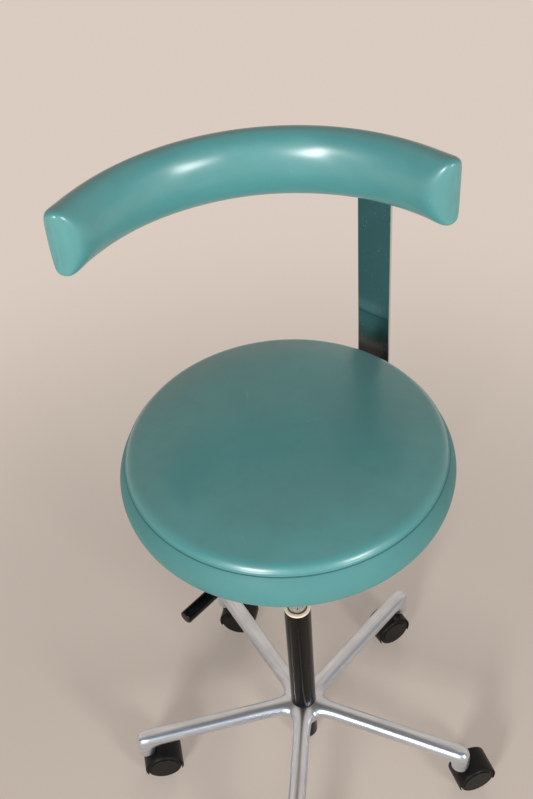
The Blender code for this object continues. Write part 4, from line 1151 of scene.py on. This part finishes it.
class STOOL_OT_star_base(bpy.types.Operator):
    """Make the polished five-arm base with its bores"""

    bl_idname = "stool.star_base"
    bl_label = "Star Base"

    def execute(self, context):
        base = context.scene.stool_base
        bore = context.scene.stool_caster.stem_radius + GAP
        socket_bottom = low("star_base").z
        boss = rod(base.boss_radius, UP * base.boss_bottom, UP * base.arm_height, MEDIUM)
        hub = rod(high("stand_tube").x + GAP, UP * HUB_BORE[0], UP * HUB_BORE[1], FINE)
        cuts = [("UNION", soften(boss, BOSS_EDGE, 3)), ("DIFFERENCE", hub)]
        for index in range(1, ARM_COUNT + 1):
            stem = joint_place(f"caster_swivel_{index}").to_2d()
            mouth = Vector((*stem, socket_bottom - SOCKET_MARGIN))
            top = Vector((*stem, socket_bottom + STEM_BORE_DEPTH))
            cuts.append(("DIFFERENCE", rod(bore, mouth, top)))
        bm = carved(base_cage(base), *cuts, level=CAGE_LEVEL)
        piece("polished_star_base", bm, "cast_aluminium", "base", "star_base")
        return {"FINISHED"}


TUBE_WALL = 0.0025
TUBE_FLOOR = 0.004
TUBE_CHAMFER = 0.0025
TUBE_EDGE = 0.0005
STUD_BORE = 0.0043
BUSH_DISH = 0.0016
BUSH_DRAFT = 0.0002
BUSH_EDGE = 0.0007
SPRING_EDGE = 0.0006
SPRING_WALL = 0.0015
SPRING_HEAD = 0.020
SPRING_MOUTH = 0.007
VALVE_BORE = 0.0033


class STOOL_OT_column(bpy.types.Operator):
    """Make the stand tube, its guide bush and the gas spring's tube"""

    bl_idname = "stool.column"
    bl_label = "Column"

    def execute(self, context):
        foot, outer, top = low("stand_tube").z, high("stand_tube").x, high("stand_tube").z
        bore, floor = outer - TUBE_WALL, foot + TUBE_FLOOR
        profile = [(outer, top), (outer, foot + TUBE_CHAMFER), (outer - TUBE_CHAMFER, foot)]
        profile += [(STUD_BORE, foot), (STUD_BORE, floor), (bore, floor), (bore, top)]
        tube = turned(profile, FINE, TUBE_EDGE)
        piece("enamelled_stand_tube", tube, "black_enamel", "base", "stand_tube")
        run, sleeve, lip = high("pressure_tube").x + GAP, bore - GAP, top + GAP
        foot, top = low("guide_bush").z, high("guide_bush").z
        profile = [(outer - BUSH_DRAFT, top), (outer, lip), (sleeve, lip), (sleeve, foot)]
        profile += [(run, foot), (run, top - BUSH_DISH), (run + BUSH_DISH, top)]
        bush = turned(profile, FINE, BUSH_EDGE, 3)
        piece("cream_guide_bush", bush, "cream_plastic", "base", "guide_bush")
        foot, outer, top = low("pressure_tube").z, high("pressure_tube").x, high("pressure_tube").z
        bore, floor, head = outer - SPRING_WALL, foot + SPRING_WALL, top - SPRING_HEAD
        profile = [(outer, top), (outer, foot), (SPRING_MOUTH, foot), (SPRING_MOUTH, floor)]
        profile += [(bore, floor), (bore, head), (VALVE_BORE, head), (VALVE_BORE, top)]
        tube = turned(profile, MEDIUM, SPRING_EDGE)
        piece("gas_spring_tube", tube, "chrome", "seat", "pressure_tube")
        return {"FINISHED"}


# Casters

HOOD_STEPS = 4
HOOD_BOSS_EDGE = 0.0008
HOOD_MARGIN = 0.01
TREAD_STEPS = 5
CAP_SHARE = 0.6
WHEEL_WALL = 0.0027
WHEEL_CHAMFER = 0.001
WHEEL_EDGE = 0.0003
WHEEL_SHARP = math.radians(40)
STEM_EDGE = 0.0004


def caster_axes(index):
    """Matrix of a caster's own axes: X from its stem to its axle, Y towards its left wheel."""
    stem = joint_place(f"caster_swivel_{index}")
    ahead = (joint_place(f"wheel_spin_left_{index}") - stem).to_2d().normalized().to_3d()
    return axes(ahead, Vector((stem.x, stem.y, 0.0)))


def axle_place():
    """Middle of the axle on a caster's own axes."""
    axle = joint_place("wheel_spin_left_1")
    return Vector(((axle - joint_place("caster_swivel_1")).to_2d().length, 0.0, axle.z))


def hood_body(caster):
    """Hood and web of a caster round its axle, open below, with the boss for the stem."""
    wide, outer, web = caster.hood_half_width, caster.hood_radius, caster.hood_web
    inner, bore = outer - caster.hood_wall, caster.axle_bore
    section = [(outer, wide), (outer, -wide), (inner, -wide), (inner, -web)]
    section += [(bore, -web), (bore, web), (inner, web), (inner, wide)]
    bm = spun(section, MEDIUM)

    def on_rim(vert):
        """Whether a vertex lies on one of the hood's two outer edges."""
        return abs(vert.co.to_2d().length - outer) < GAP and abs(abs(vert.co.z) - wide) < GAP

    rims = [edge for edge in bm.edges if all(on_rim(vert) for vert in edge.verts)]
    bevelled(bm, rims, caster.hood_round, HOOD_STEPS)
    moved(bm, Matrix.Translation(axle_place()) @ Matrix.Rotation(math.pi / 2, 4, "X"))
    skirt = low("caster_hood_1").z
    geometry = [*bm.verts, *bm.edges, *bm.faces]
    bmesh.ops.bisect_plane(bm, geom=geometry, plane_co=UP * skirt, plane_no=UP, clear_inner=True)
    boss_top = low("star_base").z - STEM_COLLAR - 2 * GAP
    boss = soften(rod(caster.boss_radius, UP * skirt, UP * boss_top), HOOD_BOSS_EDGE)
    foot, top = UP * (skirt - HOOD_MARGIN), UP * (boss_top + HOOD_MARGIN)
    return carved(filled(bm), ("UNION", boss), ("DIFFERENCE", rod(caster.stem_radius + GAP, foot, top)))


def wheel_body(caster):
    """Wheel turned about Z with its outer face up: tread, tyre side, ring groove and flat cap."""
    face, inner, groove = caster.outer_face, caster.inner_face, caster.groove
    radius, cap, bore = caster.wheel_radius, caster.cap_radius, caster.axle_bore
    rim, bore_end = face - groove, face - WHEEL_WALL
    profile = [(0.0, face), (cap - groove * CAP_SHARE, face), (cap, face - groove * CAP_SHARE)]
    profile += [(cap, rim - groove), (cap + groove, rim - groove), (cap + groove, rim)]
    for out, up in quarter(TREAD_STEPS):
        profile.append((radius - caster.tread_round * (1 - out), rim - caster.tread_round * (1 - up)))
    profile += [(radius, inner + WHEEL_CHAMFER), (radius - WHEEL_CHAMFER, inner)]
    profile += [(bore, inner), (bore, bore_end), (0.0, bore_end)]
    return turned(profile, MEDIUM, WHEEL_EDGE, 2, WHEEL_SHARP)


def stem_body(caster):
    """Stem with its collar, under the socket."""
    foot, top = low("caster_stem_1").z, high("caster_stem_1").z
    collar_top = low("star_base").z - GAP
    collar_base = collar_top - STEM_COLLAR
    thin, wide = caster.stem_radius, caster.collar_radius
    profile = [(0.0, top), (thin, top), (thin, collar_top), (wide, collar_top)]
    profile += [(wide, collar_base), (thin, collar_base), (thin, foot), (0.0, foot)]
    return turned(profile, SMALL, STEM_EDGE)


class STOOL_OT_casters(bpy.types.Operator):
    """Make the hoods, stems and wheels of the five casters"""

    bl_idname = "stool.casters"
    bl_label = "Casters"

    def execute(self, context):
        caster = context.scene.stool_caster
        hood, wheel, stem = hood_body(caster), wheel_body(caster), stem_body(caster)
        sides = {"left": -math.pi / 2, "right": math.pi / 2}
        for index in range(1, ARM_COUNT + 1):
            place, body = caster_axes(index), f"caster_{index}"
            moulded, bright = moved(hood.copy(), place), moved(stem.copy(), place)
            piece(f"moulded_hood_{index}", moulded, "black_nylon", body, f"caster_hood_{index}")
            piece(f"turned_stem_{index}", bright, "bright_steel", body, f"caster_stem_{index}")
            for side, lean in sides.items():
                lie = place @ Matrix.Translation(axle_place()) @ Matrix.Rotation(lean, 4, "X")
                body = f"wheel_{side}_{index}"
                piece(f"moulded_{body}", moved(wheel.copy(), lie), "black_nylon", body, f"caster_{body}")
        for used in (hood, wheel, stem):
            used.free()
        return {"FINISHED"}


# Lever and underside

ROD_INSET = 0.0153
ROD_BEND_STEPS = 10
NOSE_EDGE = 0.0008
PIVOT_MARGIN = 0.02
GRIP_WALL = 0.015


def lever_line(lever):
    """Plan directions of the lever's inner and outer lengths."""
    bend = Vector(lever.bend)
    return bend.normalized().to_3d(), (Vector(lever.tip) - bend).normalized().to_3d()


def lever_rod(lever):
    """Bent rod with its flat nose and the eye for the pivot."""
    pivot = joint_place("lever_lift")
    lift = UP * pivot.z
    ahead, outward = lever_line(lever)
    bend = Vector((*lever.bend, 0.0)) + lift
    nose_middle = ahead * (lever.nose[0] / 2 - lever.nose_overhang) + lift
    bend_angle = ahead.angle(outward)
    turn_axis = ahead.cross(outward).normalized()
    bend_radius = lever.bend_reach / math.tan(bend_angle / 2)
    bend_start = bend - ahead * lever.bend_reach
    bend_centre = bend_start + turn_axis.cross(ahead) * bend_radius
    end = Vector((*lever.tip, 0.0)) + lift - outward * ROD_INSET
    bm = bmesh.new()
    lie = lying(ahead, nose_middle)
    bmesh.ops.create_circle(bm, cap_ends=True, segments=SMALL, radius=lever.rod_radius, matrix=lie)
    face = pushed(bm, list(bm.faces)[0], bend_start - nose_middle)
    face = swung(bm, face, bend_centre, turn_axis, bend_angle, ROD_BEND_STEPS)
    pushed(bm, face, end - (bend + outward * lever.bend_reach))
    nose = soften(block(lever.nose, axes(ahead, nose_middle)), NOSE_EDGE)
    across = UP.cross(ahead) * PIVOT_MARGIN
    eye = rod(lever.eye_radius, pivot - across, pivot + across)
    return carved(sealed(bm), ("UNION", nose), ("DIFFERENCE", eye))


def lever_grip(lever):
    """Round grip over the rod's end."""
    bore, radius, inner_end = lever.rod_radius + GAP, lever.grip_radius, -lever.grip_length
    profile = [(0.0, 0.0), (radius, 0.0), (radius, inner_end)]
    profile += [(bore, inner_end), (bore, -GRIP_WALL), (0.0, -GRIP_WALL)]
    bm = turned(profile, MEDIUM, lever.grip_round, 4)
    tip = Vector((*lever.tip, joint_place("lever_lift").z))
    return moved(bm, lying(lever_line(lever)[1], tip))


class STOOL_OT_lever(bpy.types.Operator):
    """Make the release lever's rod and grip"""

    bl_idname = "stool.lever"
    bl_label = "Release Lever"

    def execute(self, context):
        lever = context.scene.stool_lever
        piece("bent_lever_rod", lever_rod(lever), "bright_steel", "lever", "lever_rod")
        piece("glossy_lever_grip", lever_grip(lever), "black_phenolic", "lever", "lever_grip")
        return {"FINISHED"}


DRUM_RADIUS = 0.034
SOCKET_RADIUS = 0.020
PLATE_WALL = 0.003
PLATE_EDGE = 0.0008
DRUM_MARGIN = 0.06
SCREW_COUNT = 4
SCREW_SHANK = 0.0025
SCREW_DEPTH = 0.003
SCREW_STEPS = 6
SCREW_FLAT = 0.35
RECESS = (0.0048, 0.0009, 0.0024)
SWING_BORE = 0.0203
SWING_STACK = {
    "upper_friction_washer": ("swing_washer_upper", "black_nylon", 0.0004),
    "lower_friction_washer": ("swing_washer_lower", "black_nylon", 0.0004),
    "turned_swing_collar": ("swing_collar", "bright_steel", 0.001),
}


def plate_body(lever):
    """Seat plate: flange, lever drum and socket, with the lever's slot and pivot holes."""
    foot, outer, top = low("seat_plate").z, high("seat_plate").x, high("seat_plate").z
    flange, bore, hollow = top - PLATE_WALL, high("pressure_tube").x + GAP, DRUM_RADIUS - PLATE_WALL
    floor = high("swing_washer_upper").z + GAP
    profile = [(outer, top), (outer, flange), (DRUM_RADIUS, flange), (DRUM_RADIUS, floor)]
    profile += [(SOCKET_RADIUS, floor), (SOCKET_RADIUS, foot), (bore, foot)]
    profile += [(bore, floor + PLATE_WALL), (hollow, floor + PLATE_WALL), (hollow, top)]
    pivot = joint_place("lever_lift")
    ahead = lever_line(lever)[0]
    across = UP.cross(ahead) * DRUM_MARGIN
    slot_place = axes(ahead, ahead * DRUM_RADIUS + UP * pivot.z)
    slot = block((4 * PLATE_WALL, lever.slot_width, lever.slot_height), slot_place)
    holes = rod(lever.eye_radius, pivot - across, pivot + across)
    return carved(turned(profile, FINE, PLATE_EDGE, 3), ("DIFFERENCE", slot), ("DIFFERENCE", holes))


def screw_head(node):
    """Pan-head screw with a cross recess, at a packed screw's place."""
    box_low, box_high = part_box(node)
    middle = (box_low + box_high) / 2
    head, foot, top = (box_high.x - box_low.x) / 2, box_low.z, box_high.z
    profile = [(0.0, top), (SCREW_SHANK, top - SCREW_SHANK), (SCREW_SHANK, foot + SCREW_DEPTH)]
    for down, out in quarter(SCREW_STEPS):
        profile.append((head * (SCREW_FLAT + (1 - SCREW_FLAT) * out), foot + SCREW_DEPTH * (1 - down)))
    profile.append((0.0, foot))
    recess = []
    for turn in (0.0, math.pi / 2):
        place = Matrix.Translation(UP * foot) @ Matrix.Rotation(turn, 4, "Z")
        recess.append(("DIFFERENCE", block(RECESS, place)))
    bm = carved(spun(profile, SMALL), *recess)
    return moved(bm, Matrix.Translation((middle.x, middle.y, 0.0)))


class STOOL_OT_underside(bpy.types.Operator):
    """Make the plate, screws and swing stack under the seat"""

    bl_idname = "stool.underside"
    bl_label = "Underside"

    def execute(self, context):
        plate = plate_body(context.scene.stool_lever)
        piece("pressed_seat_plate", plate, "bright_steel", "seat", "seat_plate")
        for name, (node, slot, edge) in SWING_STACK.items():
            section = ring(high(node).x, SWING_BORE, low(node).z, high(node).z)
            piece(name, turned(section, FINE, edge, 3), slot, "seat", node)
        for index in range(1, SCREW_COUNT + 1):
            node = f"seat_screw_{index}"
            piece(f"pan_head_screw_{index}", screw_head(node), "bright_steel", "seat", node)
        return {"FINISHED"}


class STOOL_OT_packed_nodes(bpy.types.Operator):
    """Give every packed node that stays its procedural finish"""

    bl_idname = "stool.packed_nodes"
    bl_label = "Packed Nodes"

    def execute(self, context):
        for node in frame["nodes"].values():
            for holder in node.material_slots:
                if holder.material.name in FINISHES:
                    holder.material = finish(holder.material.name)
        return {"FINISHED"}


# Studio

STOOL_MIDDLE = Vector((0.0, 0.0, 0.6))
SENSOR_WIDTH = 36.0
FLOOR_HALF = 9.0
BACKDROP_REACH = (0.45, 1.5)
NEAR_PALENESS = 0.3
FILL_TINT = (1.0, 0.97, 0.94)
CEILING_SHARE = 0.8
OVERHEAD = (0.2, 0.85)
ROOM_FADE = (-0.32, 0.12)
ROOM_TINT = (0.095, 0.115, 0.145)


def aimed_lamp(name, place, size, power):
    """Square lamp that looks at the stool's middle."""
    data = bpy.data.lights.new(name, "AREA")
    data.shape = "SQUARE"
    data.size = size
    data.energy = power
    lamp = bpy.data.objects.new(name, data)
    lamp.location = place
    lamp.rotation_euler = (STOOL_MIDDLE - Vector(place)).to_track_quat("-Z", "Y").to_euler()
    lamp.visible_camera = False
    bpy.context.scene.collection.objects.link(lamp)
    return lamp


def studio_camera(studio):
    """Camera at the photograph's place, looking down at the stool."""
    data = bpy.data.cameras.new("studio_camera")
    data.lens = studio.lens
    data.sensor_width = SENSOR_WIDTH
    ahead = plan_vector(studio.yaw, math.cos(studio.pitch), -math.sin(studio.pitch))
    right = Vector((math.cos(studio.yaw), -math.sin(studio.yaw), 0.0))
    above = right.cross(ahead)
    leaning_right = math.cos(studio.roll) * right + math.sin(studio.roll) * above
    leaning_up = math.cos(studio.roll) * above - math.sin(studio.roll) * right
    camera = bpy.data.objects.new("studio_camera", data)
    turn = Matrix((leaning_right, leaning_up, -ahead)).transposed().to_4x4()
    camera.matrix_world = Matrix.Translation(studio.camera) @ turn
    bpy.context.scene.collection.objects.link(camera)
    bpy.context.scene.camera = camera


def seen_rays(tree):
    """1 for rays from the camera, or off metal or through glass, and 0 for those that light a surface."""
    seen = tree.node("ShaderNodeLightPath", output="Is Camera Ray")
    for name in ("Is Glossy Ray", "Is Transmission Ray"):
        seen = seen.sum("MAXIMUM", seen, tree.node("ShaderNodeLightPath", output=name))
    return seen


def pale_floor(tree, colour):
    """Pale floor that fades into the backdrop away from the stool."""
    distance = tree.column_distance(tree.place())[0]
    matt = {"Base Color": colour, "Roughness": 0.9, "Specular IOR Level": 0.1}
    lit = tree.node("ShaderNodeBsdfPrincipled", matt)
    pale = tree.node("ShaderNodeEmission", {"Color": colour, "Strength": 1.0})
    far = seen_rays(tree) * (NEAR_PALENESS + (1 - NEAR_PALENESS) * distance.between(*BACKDROP_REACH))
    mixed = tree.node("ShaderNodeMixShader", {0: far, 1: lit, 2: pale})
    tree.node("ShaderNodeOutputMaterial", {"Surface": mixed})


def studio_room(tree, colour, strength):
    """Even light on every surface, seen as a pale backdrop and mirrored as a dim room in front."""
    back, height = tree.parts(tree.node("ShaderNodeTexCoord", output="Generated"))[1:]
    fill = tree.mix(height.between(*OVERHEAD), FILL_TINT, shade(FILL_TINT, CEILING_SHARE))
    even = tree.node("ShaderNodeBackground", {"Color": fill, "Strength": strength})
    mirrored = tree.node("ShaderNodeLightPath", output="Is Glossy Ray")
    room = tree.mix(mirrored * (1.0 - back.between(*ROOM_FADE)), colour, ROOM_TINT)
    backdrop = tree.node("ShaderNodeBackground", {"Color": room, "Strength": 1.0})
    both = tree.node("ShaderNodeMixShader", {0: seen_rays(tree), 1: even, 2: backdrop})
    tree.node("ShaderNodeOutputWorld", {"Surface": both})


class STOOL_OT_stage(bpy.types.Operator):
    """Set the plain pale floor, the soft light and the camera"""

    bl_idname = "stool.stage"
    bl_label = "Stage"

    def execute(self, context):
        scene = context.scene
        studio, colour = scene.stool_studio, scene.stool_colours.floor
        bm = bmesh.new()
        bmesh.ops.create_grid(bm, x_segments=4, y_segments=4, size=FLOOR_HALF)
        floor = loose_object("floor", bm)
        floor.data.materials.append(bpy.data.materials.new("pale_floor"))
        pale_floor(Tree(floor.data.materials[0]), opaque(colour))
        scene.world = bpy.data.worlds.new("studio")
        studio_room(Tree(scene.world), colour, studio.fill)
        aimed_lamp("left_lamp", studio.left_lamp, studio.lamp_size, studio.left_power)
        aimed_lamp("right_lamp", studio.right_lamp, studio.lamp_size, studio.right_power)
        rear = aimed_lamp("rear_lamp", studio.rear_lamp, studio.rear_size, studio.rear_power)
        rear.visible_glossy = False
        studio_camera(studio)
        scene.view_settings.view_transform = "Standard"
        return {"FINISHED"}


class STOOL_PT_looks(bpy.types.Panel):
    """The stool's pieces and settings"""

    bl_idname = "STOOL_PT_looks"
    bl_label = "Swivel Stool"
    bl_space_type = "VIEW_3D"
    bl_region_type = "UI"
    bl_category = "Stool"

    def draw(self, context):
        for operator in OPERATORS:
            self.layout.operator(operator.bl_idname)
        for name, group in SETTINGS.items():
            box = self.layout.box()
            box.label(text=group.__doc__)
            for setting in group.__annotations__:
                box.prop(getattr(context.scene, name), setting)


OPERATORS = (
    STOOL_OT_seat_cushion,
    STOOL_OT_back_pad,
    STOOL_OT_back_bar,
    STOOL_OT_star_base,
    STOOL_OT_column,
    STOOL_OT_casters,
    STOOL_OT_lever,
    STOOL_OT_underside,
    STOOL_OT_packed_nodes,
    STOOL_OT_stage,
)


def register():
    """Register the settings, operators and panel."""
    for made in (*SETTINGS.values(), *OPERATORS, STOOL_PT_looks):
        bpy.utils.register_class(made)
    for name, group in SETTINGS.items():
        setattr(bpy.types.Scene, name, PointerProperty(type=group))


def unregister():
    """Take away what register added."""
    for name in SETTINGS:
        delattr(bpy.types.Scene, name)
    for made in (STOOL_PT_looks, *reversed(OPERATORS), *SETTINGS.values()):
        bpy.utils.unregister_class(made)


def main():
    """Dress the stool."""
    register()
    for operator in OPERATORS:
        name = operator.bl_idname.split(".")[1]
        getattr(bpy.ops.stool, name)()


if __name__ == "__main__":
    main()
